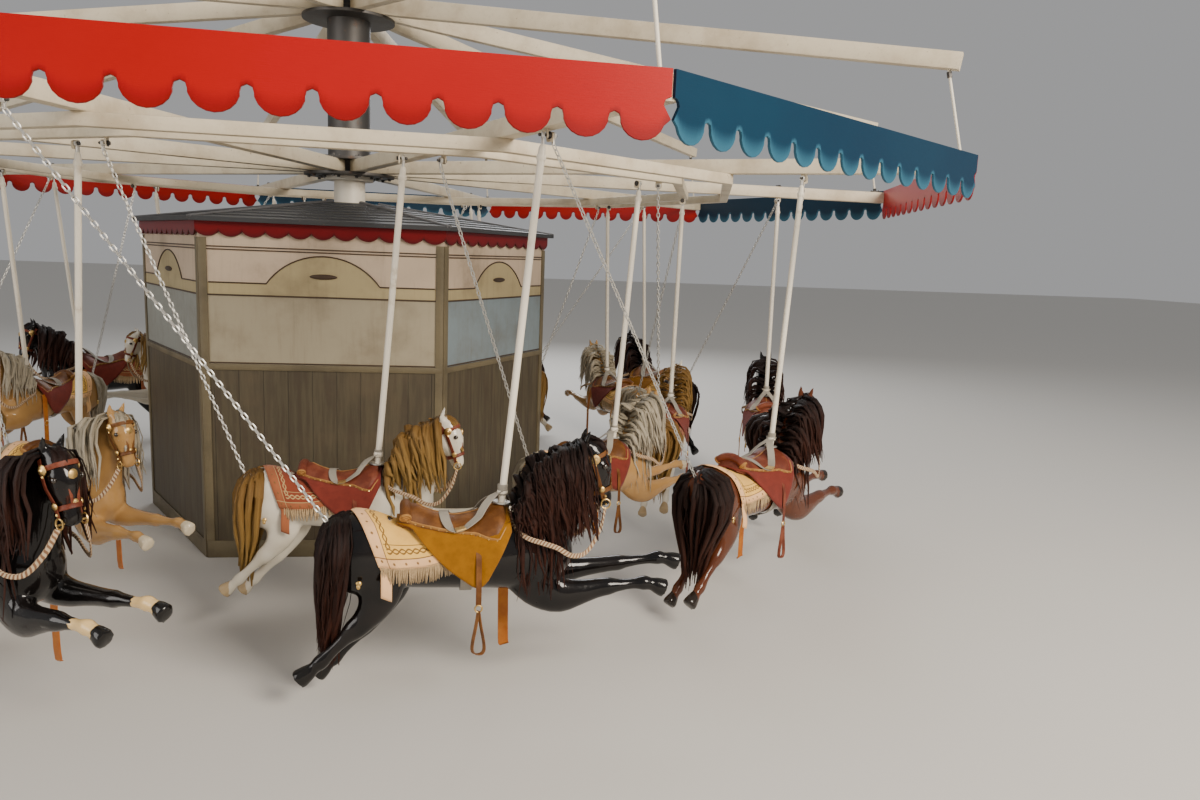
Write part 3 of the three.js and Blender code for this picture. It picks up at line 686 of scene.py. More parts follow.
def valance_board():
    """A board between its top edge and the scallops: rows of points go down the front, under the edge
    and up the back, and both ends are cut in by a half round hole at mid height. The marks are 1 along
    the lower edge."""
    edge, half_length = valance_outline()
    hole_height = VALANCE_TOP - VALANCE_DROP / 2

    def clear_of_holes(x, z):
        inset = np.sqrt(np.maximum(END_HOLE_RADIUS ** 2 - (z - hole_height) ** 2, 0))
        return in_columns(np.clip(x, -half_length + inset, half_length - inset), z)

    round_hole = hole_height + END_HOLE_RADIUS * np.cos([0.4, 0.985, 1.57])
    heights = [VALANCE_TOP, hole_height + END_HOLE_RADIUS, *round_hole]
    face = [clear_of_holes(np.maximum.accumulate(edge[:, 0]), z) for z in heights]
    edge = clear_of_holes(*edge.T)
    rounding = 0.002
    near_edge = edge + [0, rounding]
    front = CORNER_RADIUS * math.cos(HALF_BAY)
    back = front - VALANCE_THICKNESS
    rows = [(row, front) for row in face]
    rows += [(near_edge, front), (edge, front - rounding), (edge, back + rounding), (near_edge, back)]
    rows += [(row, back) for row in face[::-1]]
    points = np.stack([in_columns(row[:, 0], -depth, row[:, 1]) for row, depth in rows])
    board = together([grid(points, close_rows=True), end_wall(points[:, 0]), end_wall(points[:, -1], True)])
    # Marks for the tint towards the scalloped edge: 0 on the faces, 1 round the lower edge.
    rubbed = np.repeat([0, 1, 0], [len(face), 4, len(face)])
    return board.outward(), np.concatenate([np.repeat(rubbed, points.shape[1]), np.zeros(2 * len(points))])


def end_wall(ring, turn=False):
    """Four-sided faces across a flat closed ring whose two halves lie opposite each other."""
    count = len(ring)
    half = count // 2
    k = np.arange(half - 1)
    quads = np.stack([k, k + 1, count - 2 - k, count - 1 - k], 1)
    if turn:
        quads = quads[:, ::-1]
    return Shell(ring, quads, np.zeros((len(quads), 4, 2)))


def bolt(place, axis, radius=0.011, length=0.012, finish=1):
    """A hexagon head on a round washer, standing out along an axis."""
    place, axis = np.asarray(place, float), unit(np.asarray(axis, float))
    side = np.cross(axis, UPWARDS) if abs(axis[2]) < 0.9 else np.array(SIDEWAYS)
    seat = place + axis * 0.003
    washer = rod(place, seat, oval(16, radius * 1.6), side, finish=finish)
    head = rod(seat, place + axis * length, oval(6, radius), side, finish=finish)
    return together([washer, head])


def hang_plate(point, yaw, side):
    """The plate and pin under a beam that a pole or chain hangs on, with a nut on the plate."""
    along_pin = np.array([math.cos(yaw), math.sin(yaw), 0.0]) * side
    across_pin = np.array([-math.sin(yaw), math.cos(yaw), 0.0])
    point = np.asarray(point, float)
    inner_face, outer_face = point + along_pin * 0.015, point + along_pin * 0.021
    return [
        rod(inner_face, outer_face, rounded(0.040, 0.040, 0.010, 5) + [0, 0.007], across_pin),
        rod(point - along_pin * 0.016, point + along_pin * 0.018, oval(16, 0.0062), across_pin, finish=1),
        bolt(outer_face, along_pin, 0.010, 0.011),
        ball(point - along_pin * 0.014, 0.0075, 5, 8, finish=1),
    ]


def ring_point(radius, behind):
    """A point on a ten-sided ring of a corner radius, at an angle behind the hero bay's leading sweep."""
    within = behind % BAY_ANGLE
    reach = radius * math.cos(HALF_BAY) / math.cos(within - HALF_BAY)
    return arc(reach, FIRST_SWEEP_ANGLE - behind)


INNER_POLE_TOP = ring_point(INNER_BEAM_RADIUS, INNER_POLE_ANGLE)
INNER_CHAIN_TOP = ring_point(INNER_BEAM_RADIUS, BAY_ANGLE + INNER_CHAIN_ANGLE)
INNER_YAW = math.atan2(*(INNER_POLE_TOP - INNER_CHAIN_TOP)[::-1])
OUTER_POLE_TOP = np.array([
    OUTER_HANG_RADIUS * math.sin(HALF_BAY) - OUTER_PIN_OFFSET, -OUTER_HANG_RADIUS * math.cos(HALF_BAY)])


def sweep():
    """A sweep along +x before it is turned: a timber with a pointed end that fits the rim's corner, two
    hang plates under it, and a bolt through it above each of them."""
    tip = (CORNER_RADIUS * math.cos(HALF_BAY) - VALANCE_THICKNESS - SEAT_GAP) / math.cos(HALF_BAY)
    middle = (SWEEP_BOTTOM + SWEEP_TOP) / 2
    shoulder = tip - SWEEP_WIDTH / 2 * math.tan(HALF_BAY)
    timber = straight((TIMBER_START, 0, middle), (shoulder, 0, middle), 16)
    path = np.concatenate([timber, [[tip - 0.001, 0, middle]]])
    sizes = np.ones((len(path), 2))
    sizes[-1, 0] = 0.04
    section = rounded(SWEEP_WIDTH, SWEEP_TOP - SWEEP_BOTTOM, 0.006)
    pieces = [carried(path, section, SIDEWAYS, sizes)]
    for side in (-1, 1):
        yaw = math.pi / 2 + side * HALF_BAY
        x = OUTER_HANG_RADIUS + side * OUTER_PIN_OFFSET * math.cos(yaw)
        y = side * OUTER_PIN_OFFSET * math.sin(yaw)
        pieces += [*hang_plate((x, y, OUTER_PIN_HEIGHT), yaw, -side), bolt((x, y, SWEEP_TOP), UPWARDS)]
    return together(pieces)


def ring_beam(radius, with_plates):
    """Ten beams end to end under the sweeps, mitred where they meet, and the inner ring's hang plates."""
    corners = np.array([ring_point(radius, -bay * BAY_ANGLE) for bay in range(BAYS)])
    middle = SWEEP_BOTTOM - BEAM_DEPTH / 2 - SEAT_GAP
    onward = np.roll(corners, -1, 0)
    steps = np.linspace(0, 1, 7)[:-1]
    path = (corners[:, None] * (1 - steps[:, None]) + onward[:, None] * steps[:, None]).reshape(-1, 2)
    path = in_columns(*path.T, middle)
    radial = unit(path * [1, 1, 0])
    face = unit((corners + onward) * 0.5)
    across = np.repeat(in_columns(*face.T, 0.0), len(steps), 0)
    at_corner = np.arange(len(path)) % len(steps) == 0
    across[at_corner] = radial[at_corner]
    size = np.ones((len(path), 2))
    size[at_corner, 0] = 1 / math.cos(HALF_BAY)
    pieces = [carried(path, rounded(BEAM_DEPTH, BEAM_DEPTH, 0.005), across, size, closed=True)]
    for bay in range(BAYS if with_plates else 0):
        spin = turned(bay * BAY_ANGLE)
        for point, side in ((INNER_POLE_TOP, -1), (INNER_CHAIN_TOP, 1)):
            plates = hang_plate((*point, INNER_PIN_HEIGHT), INNER_YAW, side)
            pieces += [plate.placed(spin) for plate in plates]
    return together(pieces)


def rafter():
    """A raking rafter along +x before it is turned, seated flat on the hub, with the rod that carries
    the sweep's end, its eye nuts and its foot plate."""
    seat_middle, outer_end = RAFTER_SEAT + RAFTER_DEPTH / 2, 4.12
    raking = straight((0.45, 0, 3.598), (outer_end, 0, 3.065), 12)
    path = np.array([[TIMBER_START, 0, seat_middle], [HUB_FLANGE_RADIUS, 0, seat_middle], *raking])
    tapering = np.interp(path[:, 0], [HUB_FLANGE_RADIUS, outer_end], [1.0, 0.75])
    body = carried(path, rounded(0.070, RAFTER_DEPTH, 0.006), SIDEWAYS, in_columns(1.0, tapering))
    foot, top = np.array([4.165, 0, SWEEP_TOP + 0.0083]), np.array([4.060, 0, 3.03])
    lean = unit(top - foot)
    pieces = [
        body, rod(foot, top, oval(14, 0.008), count=8, finish=2),
        rod(foot - [0, 0, 0.008], foot, rounded(0.06, 0.06, 0.006), finish=1),
        rod(foot + lean * 0.002, foot + lean * 0.022, oval(6, 0.013), finish=1),
        rod(top - lean * 0.045, top - lean * 0.015, oval(6, 0.015), finish=1),
    ]
    for x in (-0.02, 0.02):
        pieces += [bolt(foot + [x, y, 0], UPWARDS, 0.005, 0.007) for y in (-0.02, 0.02)]
    return together(pieces)


def hub():
    """The turning sleeve with its two pairs of flanges, and bolts over both pairs and under the lower
    one."""

    def pair(seat, top):
        under, over = seat - SEAT_GAP, top + SEAT_GAP
        return [(HUB_FLANGE_RADIUS, seat - HUB_PLATE), (HUB_FLANGE_RADIUS, under), (HUB_SLEEVE_RADIUS, under),
                (HUB_SLEEVE_RADIUS, over), (HUB_FLANGE_RADIUS, over), (HUB_FLANGE_RADIUS, top + HUB_PLATE)]

    foot, neck = SWEEP_BOTTOM - HUB_PLATE, SWEEP_TOP + HUB_PLATE
    rafter_top = RAFTER_SEAT + RAFTER_DEPTH
    head = rafter_top + HUB_PLATE
    profile = [
        (HUB_BORE, foot), *pair(SWEEP_BOTTOM, SWEEP_TOP), (HUB_SLEEVE_RADIUS, neck),
        (HUB_SLEEVE_RADIUS, RAFTER_SEAT - HUB_PLATE), *pair(RAFTER_SEAT, rafter_top), (HUB_BORE, head)]
    pieces = [lathe(softened(profile, 0.0001), 64)]
    for bay in range(BAYS):
        for reach in HUB_BOLT_CIRCLES:
            x, y = arc(reach, FIRST_SWEEP_ANGLE + bay * BAY_ANGLE)
            for z, way in ((neck, 1), (head, 1), (foot, -1)):
                pieces.append(bolt((x, y, z), (0, 0, way), 0.012, 0.016, 0))
    return together(pieces)


def mast():
    """The mast's tube with base flange, thrust collar and a rounded head."""
    foot, flange_top, collar, collar_top = FOOT_HEIGHT + SEAT_GAP, 0.19, 2.4294, 2.4594
    head = arc(MAST_RADIUS, np.linspace(0, 1.5, 10)) + [0, MAST_TOP - MAST_RADIUS]
    profile = [
        (AXIS, foot), (MAST_FLANGE_RADIUS, foot), (MAST_FLANGE_RADIUS, flange_top),
        (MAST_RADIUS, flange_top), (MAST_RADIUS, collar), (COLLAR_RADIUS, collar),
        (COLLAR_RADIUS, collar_top), (MAST_RADIUS, collar_top), *head, (AXIS, MAST_TOP)]
    bolts = [bolt((*arc(0.21, (n + 0.5) * math.pi / 4), flange_top), UPWARDS, 0.014, 0.02) for n in range(8)]
    return together([lathe(profile, 64), *bolts])


# Centre house

def on_each_side(side):
    """The six sides of the house out of one that faces -y."""
    return [side.placed(turned(HOUSE_TURN + number * 2 * HOUSE_HALF_SIDE)) for number in range(HOUSE_SIDES)]


def mast_foot():
    """Two iron beams crossed on the floor, one from wall to wall and one from corner to corner, and
    a disc over their crossing."""
    width, middle = 0.2, FOOT_HEIGHT / 2
    reach = HOUSE_APOTHEM - HOUSE_WALL_THICKNESS - 0.0008
    corner_reach = (reach - width / 2 * math.sin(HOUSE_HALF_SIDE)) / math.cos(HOUSE_HALF_SIDE)
    section = rounded(width, FOOT_HEIGHT, 0.008)
    first = rod((-corner_reach, 0, middle), (corner_reach, 0, middle), section, count=12)
    second = rod((0, -reach, middle), (0, reach, middle), section, (1, 0, 0), count=12)
    profile = [
        (AXIS, 0.001), (0.255, 0.001), (MAST_FLANGE_RADIUS, 0.006), (MAST_FLANGE_RADIUS, 0.155),
        (0.255, FOOT_HEIGHT), (AXIS, FOOT_HEIGHT)]
    return together([first, second, lathe(profile, 48)]).placed(turned(HOUSE_TURN))


def wall_board():
    """One side from the floor to the eaves: rows of points go up its face and down its back, each as wide as
    the side is at that depth, so that the ends are mitred. Its UVs are metres from the middle of its foot."""
    across = np.linspace(-1, 1, 5)
    up = np.linspace(0, HOUSE_HEIGHT, 5)
    rows = []
    for y, heights in ((HOUSE_APOTHEM - 0.008, up), (HOUSE_APOTHEM - HOUSE_WALL_THICKNESS, up[::-1])):
        rows += [in_columns(across * y * math.tan(HOUSE_HALF_SIDE), -y, z) for z in heights]
    wall = grid(np.stack(rows), close_rows=True)
    wall.quad_uv = wall.points[wall.quads][..., [0, 2]]
    return wall


def arch_line():
    """The path of the thin bead: level from the corner stile to the arch's foot, then round the arch."""
    rise = math.asin(ARCH_HALF_WIDTH / ARCH_RADIUS)
    angle = np.linspace(-rise, rise, 21)
    level = HOUSE_HALF_WIDTH - 0.058
    x = [-level, *ARCH_RADIUS * np.sin(angle), level]
    z = [SPRING_HEIGHT, *(ARCH_TOP - ARCH_RADIUS + ARCH_RADIUS * np.cos(angle)), SPRING_HEIGHT]
    return in_columns(x, -HOUSE_APOTHEM + 0.0055, z)


def wall_side():
    """A side's board with its corner stiles, skirting, dado rail, beads, arch line and the arch's small
    boss."""
    face = -HOUSE_APOTHEM + 0.0052
    half = HOUSE_HALF_WIDTH - 0.004
    pieces = [wall_board()]
    for z, height, depth, finish in (
        (SKIRTING_HEIGHT / 2, SKIRTING_HEIGHT, 0.010, 1), (DADO_HEIGHT, 0.036, 0.010, 1),
        (DADO_HEIGHT + 0.026, 0.008, 0.007, 2), (RAIL_HEIGHT, 0.009, 0.009, 2),
        (1.934, 0.007, 0.008, 2), (1.917, 0.007, 0.008, 2),
    ):
        reach = half - 0.004
        section = rounded(height, depth, 0.002)
        pieces.append(rod((-reach, face, z), (reach, face, z), section, UPWARDS, 5, finish))
    for x in (-half + STILE_WIDTH / 2, half - STILE_WIDTH / 2):
        stile = rounded(STILE_WIDTH, 0.0098, 0.002)
        pieces.append(rod((x, face, SKIRTING_HEIGHT), (x, face, STILE_TOP), stile, (1, 0, 0), 9, 1))
    pieces.append(carried(arch_line(), oval(6, 0.0045), SIDEWAYS, finish=2))
    centre = np.array([0, face + 0.002, 1.772])
    for width, height, depth in ((0.082, 0.016, 0.006), (0.062, 0.010, 0.0085)):
        x, z = oval(32, width, height).T
        ring = centre + in_columns(x, 0.0, z)
        steps = [ring, ring - [0, depth * 0.7, 0], centre + (ring - centre) * 0.86 - [0, depth, 0]]
        pieces.append(grid(steps, close_columns=True, caps=True, finish=2))
    return together(pieces)


def house_walls():
    """The six sides, and for each point how cool the colour of its side is."""
    side = wall_side()
    return together(on_each_side(side)), np.repeat([0.0, 1.0, 0.35, 0.8, 0.15, 0.6], len(side.points))


def roof_side():
    """A sloping field of eight lapped boards from the eaves to the eye, with a lead roll on one hip."""
    underside, eaves_height, lap = HOUSE_HEIGHT + SEAT_GAP, HOUSE_HEIGHT + 0.0203, 0.006

    def slope(radius):
        fall = (radius - EYE_RADIUS) / (HOUSE_EAVES_RADIUS - EYE_RADIUS)
        return HOUSE_ROOF_TOP + (eaves_height - HOUSE_ROOF_TOP) * fall

    edges = np.linspace(HOUSE_EAVES_RADIUS, EYE_RADIUS, 9)
    profile = [(EYE_RADIUS, underside), (HOUSE_EAVES_RADIUS, underside)]
    for low, high in zip(edges[:-1], edges[1:]):
        profile += [(low, slope(low) - 0.001), (low, slope(low) + lap), (high, slope(high) - 0.001)]
    radius, height = np.array(profile).T[..., None]
    across = np.linspace(-1, 1, 13) * math.sin(HOUSE_HALF_SIDE)
    field = grid(in_columns(radius * across, -radius * math.cos(HOUSE_HALF_SIDE), height), close_rows=True)
    hip = -math.pi / 2 + HOUSE_HALF_SIDE
    low, high = (np.array([*arc(reach, hip), slope(reach) + 0.004]) for reach in (1.506, 0.205))
    roll = rod(low, high, oval(10, 0.018, 0.010), np.cross(UPWARDS, high - low), 6, 1)
    return together([field, roll])


def band_side():
    """One scalloped board under the eaves: at a share t of a lobe's width it reaches down by the lobe's
    depth times sin(pi t) to the power 0.7. Rows of points go down the back and up the face."""
    lobes, drop, lobe_depth, thickness = 11, 0.088, 0.034, 0.012
    back = HOUSE_APOTHEM + SEAT_GAP
    front = back + thickness
    half = front * math.tan(HOUSE_HALF_SIDE) - 0.0006
    steps = np.linspace(0, 1, 12 * lobes + 1)
    wave = np.abs(np.sin(steps * lobes * math.pi)) ** 0.7
    x, low = (steps * 2 - 1) * half, HOUSE_HEIGHT - drop + lobe_depth * (1 - wave)
    rows = []
    for y, share in ((back, 0.0), (back, 1.0), (front, 1.0), (front, 0.4), (front, 0.0)):
        z = (HOUSE_HEIGHT - SEAT_GAP) * (1 - share) + low * share
        rows.append(in_columns(x * y / front, -y, z))
    return grid(np.stack(rows), close_rows=True)


def house_band():
    """The six scalloped boards, marked along their lower edges."""
    side = band_side()
    marks = np.tile(np.repeat([0, 1, 1, 0, 0], len(side.points) // 5), HOUSE_SIDES)
    return together(on_each_side(side)), marks


# The carved horse, in its own frame: the pole's foot above the withers is the origin, +x forwards,
# +y to its left and +z up, at the size of the outer row

BARREL = np.array([
    # x, centre height, half height, half width
    [-0.757, -0.190, 0.028, 0.026], [-0.744, -0.188, 0.074, 0.064], [-0.704, -0.185, 0.116, 0.106],
    [-0.635, -0.191, 0.141, 0.137], [-0.550, -0.212, 0.149, 0.150], [-0.450, -0.240, 0.139, 0.148],
    [-0.340, -0.258, 0.129, 0.145], [-0.220, -0.262, 0.129, 0.147], [-0.100, -0.256, 0.141, 0.150],
    [0.020, -0.245, 0.161, 0.150], [0.120, -0.240, 0.172, 0.141], [0.200, -0.238, 0.165, 0.123],
    [0.262, -0.238, 0.130, 0.096], [0.302, -0.240, 0.078, 0.066], [0.318, -0.240, 0.030, 0.030],
])
NECK = np.array([
    # x, z, half width, half depth
    [0.130, -0.240, 0.108, 0.150], [0.180, -0.140, 0.096, 0.150], [0.222, -0.040, 0.079, 0.132],
    [0.256, 0.045, 0.067, 0.112], [0.292, 0.115, 0.059, 0.092], [0.335, 0.165, 0.053, 0.072],
    [0.375, 0.190, 0.047, 0.056],
])
HEAD = np.array([
    # x, z, half width, half depth
    [0.350, 0.238, 0.034, 0.028], [0.374, 0.223, 0.048, 0.050], [0.394, 0.186, 0.056, 0.068],
    [0.407, 0.142, 0.057, 0.076], [0.418, 0.098, 0.050, 0.071], [0.431, 0.056, 0.040, 0.055],
    [0.443, 0.020, 0.034, 0.044], [0.452, -0.006, 0.036, 0.041], [0.458, -0.026, 0.033, 0.033],
    [0.461, -0.038, 0.020, 0.018],
])
NEAR_FORELEG = np.array([
    # x, z, half width, half depth
    [0.080, -0.300, 0.050, 0.100], [0.170, -0.380, 0.056, 0.102], [0.255, -0.422, 0.053, 0.084],
    [0.340, -0.412, 0.044, 0.060], [0.420, -0.396, 0.037, 0.045], [0.478, -0.388, 0.036, 0.040],
    [0.520, -0.385, 0.028, 0.029], [0.588, -0.380, 0.023, 0.024], [0.636, -0.378, 0.032, 0.034],
    [0.668, -0.384, 0.026, 0.028], [0.690, -0.390, 0.031, 0.035], [0.722, -0.403, 0.037, 0.042],
    [0.736, -0.409, 0.036, 0.042],
])
FAR_FORELEG = np.array([
    # x, z, half width, half depth
    [0.080, -0.300, 0.050, 0.100], [0.190, -0.348, 0.053, 0.082], [0.300, -0.364, 0.047, 0.060],
    [0.400, -0.358, 0.038, 0.045], [0.505, -0.348, 0.034, 0.037], [0.558, -0.343, 0.035, 0.037],
    [0.600, -0.338, 0.027, 0.028], [0.690, -0.330, 0.022, 0.023], [0.743, -0.324, 0.031, 0.033],
    [0.775, -0.328, 0.025, 0.027], [0.798, -0.333, 0.030, 0.034], [0.830, -0.344, 0.036, 0.041],
    [0.844, -0.349, 0.035, 0.041],
])
NEAR_HIND_LEG = np.array([
    # x, z, half width, half depth
    [-0.600, -0.180, 0.045, 0.115], [-0.548, -0.285, 0.062, 0.135], [-0.520, -0.372, 0.059, 0.104],
    [-0.540, -0.448, 0.048, 0.072], [-0.583, -0.508, 0.038, 0.052], [-0.625, -0.548, 0.037, 0.046],
    [-0.662, -0.585, 0.026, 0.031], [-0.716, -0.640, 0.022, 0.026], [-0.760, -0.684, 0.030, 0.034],
    [-0.786, -0.707, 0.023, 0.027], [-0.808, -0.726, 0.031, 0.035], [-0.842, -0.752, 0.038, 0.043],
    [-0.852, -0.760, 0.037, 0.042],
])
FAR_HIND_LEG = np.array([
    # x, z, half width, half depth
    [-0.570, -0.190, 0.045, 0.115], [-0.505, -0.300, 0.062, 0.130], [-0.485, -0.400, 0.058, 0.100],
    [-0.515, -0.490, 0.047, 0.069], [-0.562, -0.566, 0.038, 0.051], [-0.600, -0.612, 0.036, 0.045],
    [-0.632, -0.652, 0.026, 0.031], [-0.682, -0.708, 0.022, 0.026], [-0.722, -0.750, 0.030, 0.034],
    [-0.744, -0.772, 0.023, 0.027], [-0.762, -0.790, 0.031, 0.035], [-0.788, -0.814, 0.038, 0.042],
    [-0.796, -0.822, 0.037, 0.041],
])
LEG_SPREAD = 0.088
BARREL_POWER = 2.15
RUMP = ((-0.550, 0, -0.205), (0.212, 0.154, 0.154))
HAUNCHES = [((-0.585, side * 0.075, -0.235), (0.150, 0.082, 0.160)) for side in (-1, 1)]
SHOULDERS = [((0.150, side * 0.072, -0.265), (0.120, 0.070, 0.160)) for side in (-1, 1)]


def limb_form(stations):
    """A closed form on the middle plane through oval stations, eased by Catmull-Rom curves."""
    rows = smooth(stations, 26)
    return carried(in_columns(rows[:, 0], 0.0, rows[:, 1]), oval(24, power=2.2), SIDEWAYS, rows[:, 2:4])


def leg_form(stations, side):
    """A leg that starts inside the body and has reached the leg spread after a quarter of its length."""
    rows = smooth(stations, 40)
    spread = np.interp(np.linspace(0, 1, len(rows)), [0, 0.25], [0.060, LEG_SPREAD])
    path = in_columns(rows[:, 0], side * spread, rows[:, 1])
    return carried(path, oval(20, power=2.1), SIDEWAYS, rows[:, 2:4])


def ear(side):
    """A pointed ear set on the poll: its width follows a sine that ends in a point."""
    t = np.linspace(0, 1, 8)
    path = in_columns(0.350 + 0.028 * t, side * (0.030 + 0.014 * t), 0.235 + 0.080 * t)
    width = 0.019 * np.sin(math.pi * (0.25 + 0.75 * t)) ** 0.8 + 0.001
    return carried(path, oval(12, 1, 0.6), SIDEWAYS, width)


def carved_forms():
    """The overlapping closed forms that the carving is made of."""
    rows = smooth(BARREL, 64)
    path = in_columns(rows[:, 0], 0.0, rows[:, 1])
    forms = [
        carried(path, oval(36, power=BARREL_POWER), SIDEWAYS, rows[:, [3, 2]]),
        limb_form(NECK), limb_form(HEAD),
        leg_form(NEAR_FORELEG, -1), leg_form(FAR_FORELEG, 1),
        leg_form(NEAR_HIND_LEG, -1), leg_form(FAR_HIND_LEG, 1),
        *(ball(place, size, 12, 20) for place, size in (*HAUNCHES, *SHOULDERS)), ear(-1), ear(1),
    ]
    for side in (-1, 1):
        forms.append(ball((0.434, side * 0.047, 0.152), (0.020, 0.015, 0.017)))
        forms.append(ball((0.470, side * 0.024, -0.012), (0.014, 0.013, 0.016)))
        forms.append(ball((0.386, side * 0.030, 0.118), (0.050, 0.031, 0.056)))
    return forms


def skin_of(forms, voxel, rounds, share):
    """One skin over overlapping closed forms: remeshed on a grid of voxels, smoothed a few rounds and
    thinned to a share of its triangles."""
    return surface_after(
        mesh_of("forms", together(forms)),
        ("REMESH", {"mode": "VOXEL", "voxel_size": voxel}),
        ("SMOOTH", {"factor": 0.5, "iterations": rounds}),
        ("DECIMATE", {"ratio": share}))


def hoof_share(points):
    """1 on the hooves, a half on the socks above them and 0 elsewhere, from how far out along its leg a
    point lies."""
    near = points[:, 1] < 0
    fore = points[:, 0] - np.where(near, 0.692, 0.800)
    hind = (np.where(near, -0.806, -0.762) - points[:, 0]) * 1.3
    out = np.where(points[:, 2] < -0.55, np.maximum(fore, hind), fore)
    return (np.clip(out / 0.008, 0, 1) + np.clip((out + 0.130) / 0.008, 0, 1)) / 2


# The back as a surface that cloths, straps and the saddle lie on

TABLE_X = np.linspace(-0.745, 0.300, 106)
TABLE_STEPS = 125
TABLE_REACH = 0.62


def barrel_at(x, count):
    """Centre height, half height and half width of the barrel at x."""
    rows = smooth(BARREL, count)
    return (np.interp(x, rows[:, 0], rows[:, k]) for k in (1, 2, 3))


def back_table():
    """Points of the body at distances from the spine, for each x. In the plane at x a ray at an angle
    from the upright meets the barrel's superellipse at ((sin/w)^p + (cos/h)^p)^(-1/p), or a haunch or
    shoulder where that lies further out. Past its widest line a cloth hangs straight down."""
    centre, high, wide = barrel_at(TABLE_X, 240)
    angle = np.linspace(0, 0.62 * math.pi, 90)
    s, c = np.sin(angle), np.cos(angle)
    p = BARREL_POWER
    reach = (np.abs(s / wide[:, None]) ** p + np.abs(c / high[:, None]) ** p) ** (-1 / p)
    for (px, py, pz), (rx, ry, rz) in (HAUNCHES[1], SHOULDERS[1]):
        slice_size = np.sqrt(np.maximum(1 - ((TABLE_X - px) / rx) ** 2, 1e-9))[:, None]
        a = (s / ry) ** 2 + (c / rz) ** 2
        dz = (centre - pz)[:, None]
        b = -s * py / ry ** 2 + c * dz / rz ** 2
        inside = b ** 2 - a * ((py / ry) ** 2 + (dz / rz) ** 2 - slice_size ** 2)
        meets = np.where(inside > 0, (-b + np.sqrt(np.maximum(inside, 0))) / a, 0)
        reach = np.maximum(reach, meets)
    for axis in (0, 1, 0, 1):
        padded = np.concatenate([reach.take([0], axis), reach, reach.take([-1], axis)], axis)
        count = reach.shape[axis]
        reach = (padded.take(range(count), axis) + 2 * reach + padded.take(range(2, count + 2), axis)) / 4
    sideways, height = reach * s, centre[:, None] + reach * c
    distance = np.linspace(0, TABLE_REACH, TABLE_STEPS)
    table = []
    for x, y, z in zip(TABLE_X, sideways, height):
        last = int(np.argmax(y)) + 1
        y, z = y[:last], z[:last]
        length = np.concatenate([[0], np.cumsum(np.hypot(np.diff(y), np.diff(z)))])
        beyond = np.maximum(distance - length[-1], 0)
        table.append(in_columns(
            x, np.interp(distance, length, y) + 0.03 * beyond, np.interp(distance, length, z) - beyond))
    return np.stack(table)


BACK = back_table()
BACK_NORMAL = unit(np.cross(np.gradient(BACK, axis=0), np.gradient(BACK, axis=1)))


def over_back(x, distance, clearance):
    """Points a clearance proud of the back, at x and a signed distance from the spine (left positive),
    by weighing the table's four nearest entries."""
    x, distance, clearance = np.broadcast_arrays(*(np.asarray(v, float) for v in (x, distance, clearance)))
    row = np.clip((x - TABLE_X[0]) / (TABLE_X[1] - TABLE_X[0]), 0, len(TABLE_X) - 1.001)
    column = np.clip(np.abs(distance) / (TABLE_REACH / (TABLE_STEPS - 1)), 0, TABLE_STEPS - 1.001)
    i, j = row.astype(int), column.astype(int)
    f, g = (row - i)[..., None], (column - j)[..., None]

    def weighed(table):
        near, far = (table[i, k] * (1 - f) + table[i + 1, k] * f for k in (j, j + 1))
        return near * (1 - g) + far * g

    point = weighed(BACK) + unit(weighed(BACK_NORMAL)) * clearance[..., None]
    point[..., 1] *= np.where(distance < 0, -1, 1)
    return point


# Hair

def marked(pairs):
    """One surface and one list of marks out of several pairs of both."""
    shells, marks = zip(*pairs)
    return together(shells), np.concatenate(marks)


def hair_locks(roots, ends, sag, widths, seed, count, wave, sides, guide=None):
    """Locks from root points to end points. A lock runs out along its sag, turns down under its
    weight and waves a little more towards its tip; it is flat, and drawn in at both ends."""
    draw = np.random.default_rng(seed)
    t = np.linspace(0, 1, count)
    section = oval(sides, 1.0, 0.45)
    pieces, marks = [], []
    for number, (root, end) in enumerate(zip(roots, ends)):
        path = root + (end - root) * t[:, None] ** np.array([0.75, 0.55, 1.2])
        path = path + sag[number] * np.sin(math.pi * t)[:, None] * (1 - t[:, None])
        phase, rate = draw.uniform(0, 6.28, 3), draw.uniform(6, 13)
        path += wave * (0.25 + t[:, None]) * np.sin(t[:, None] * rate + phase) * np.minimum(4 * t, 1)[:, None]
        if guide is not None:
            path = guide(path)
        size = widths[number] * (np.sin(math.pi * np.clip(0.28 + 0.70 * t, 0, 1)) ** 0.7 + 0.03)
        twist = draw.uniform(-0.7, 0.7)
        pieces.append(carried(path, section, (math.cos(twist), math.sin(twist), 0.2), size))
        marks.append(np.full(len(pieces[-1].points), draw.uniform()))
    return together(pieces), np.concatenate(marks)


CREST = [[0.052, 0, -0.060], [0.098, 0, 0.000], [0.128, 0, 0.070], [0.172, 0, 0.138], [0.222, 0, 0.190],
         [0.282, 0, 0.225], [0.345, 0, 0.246]]


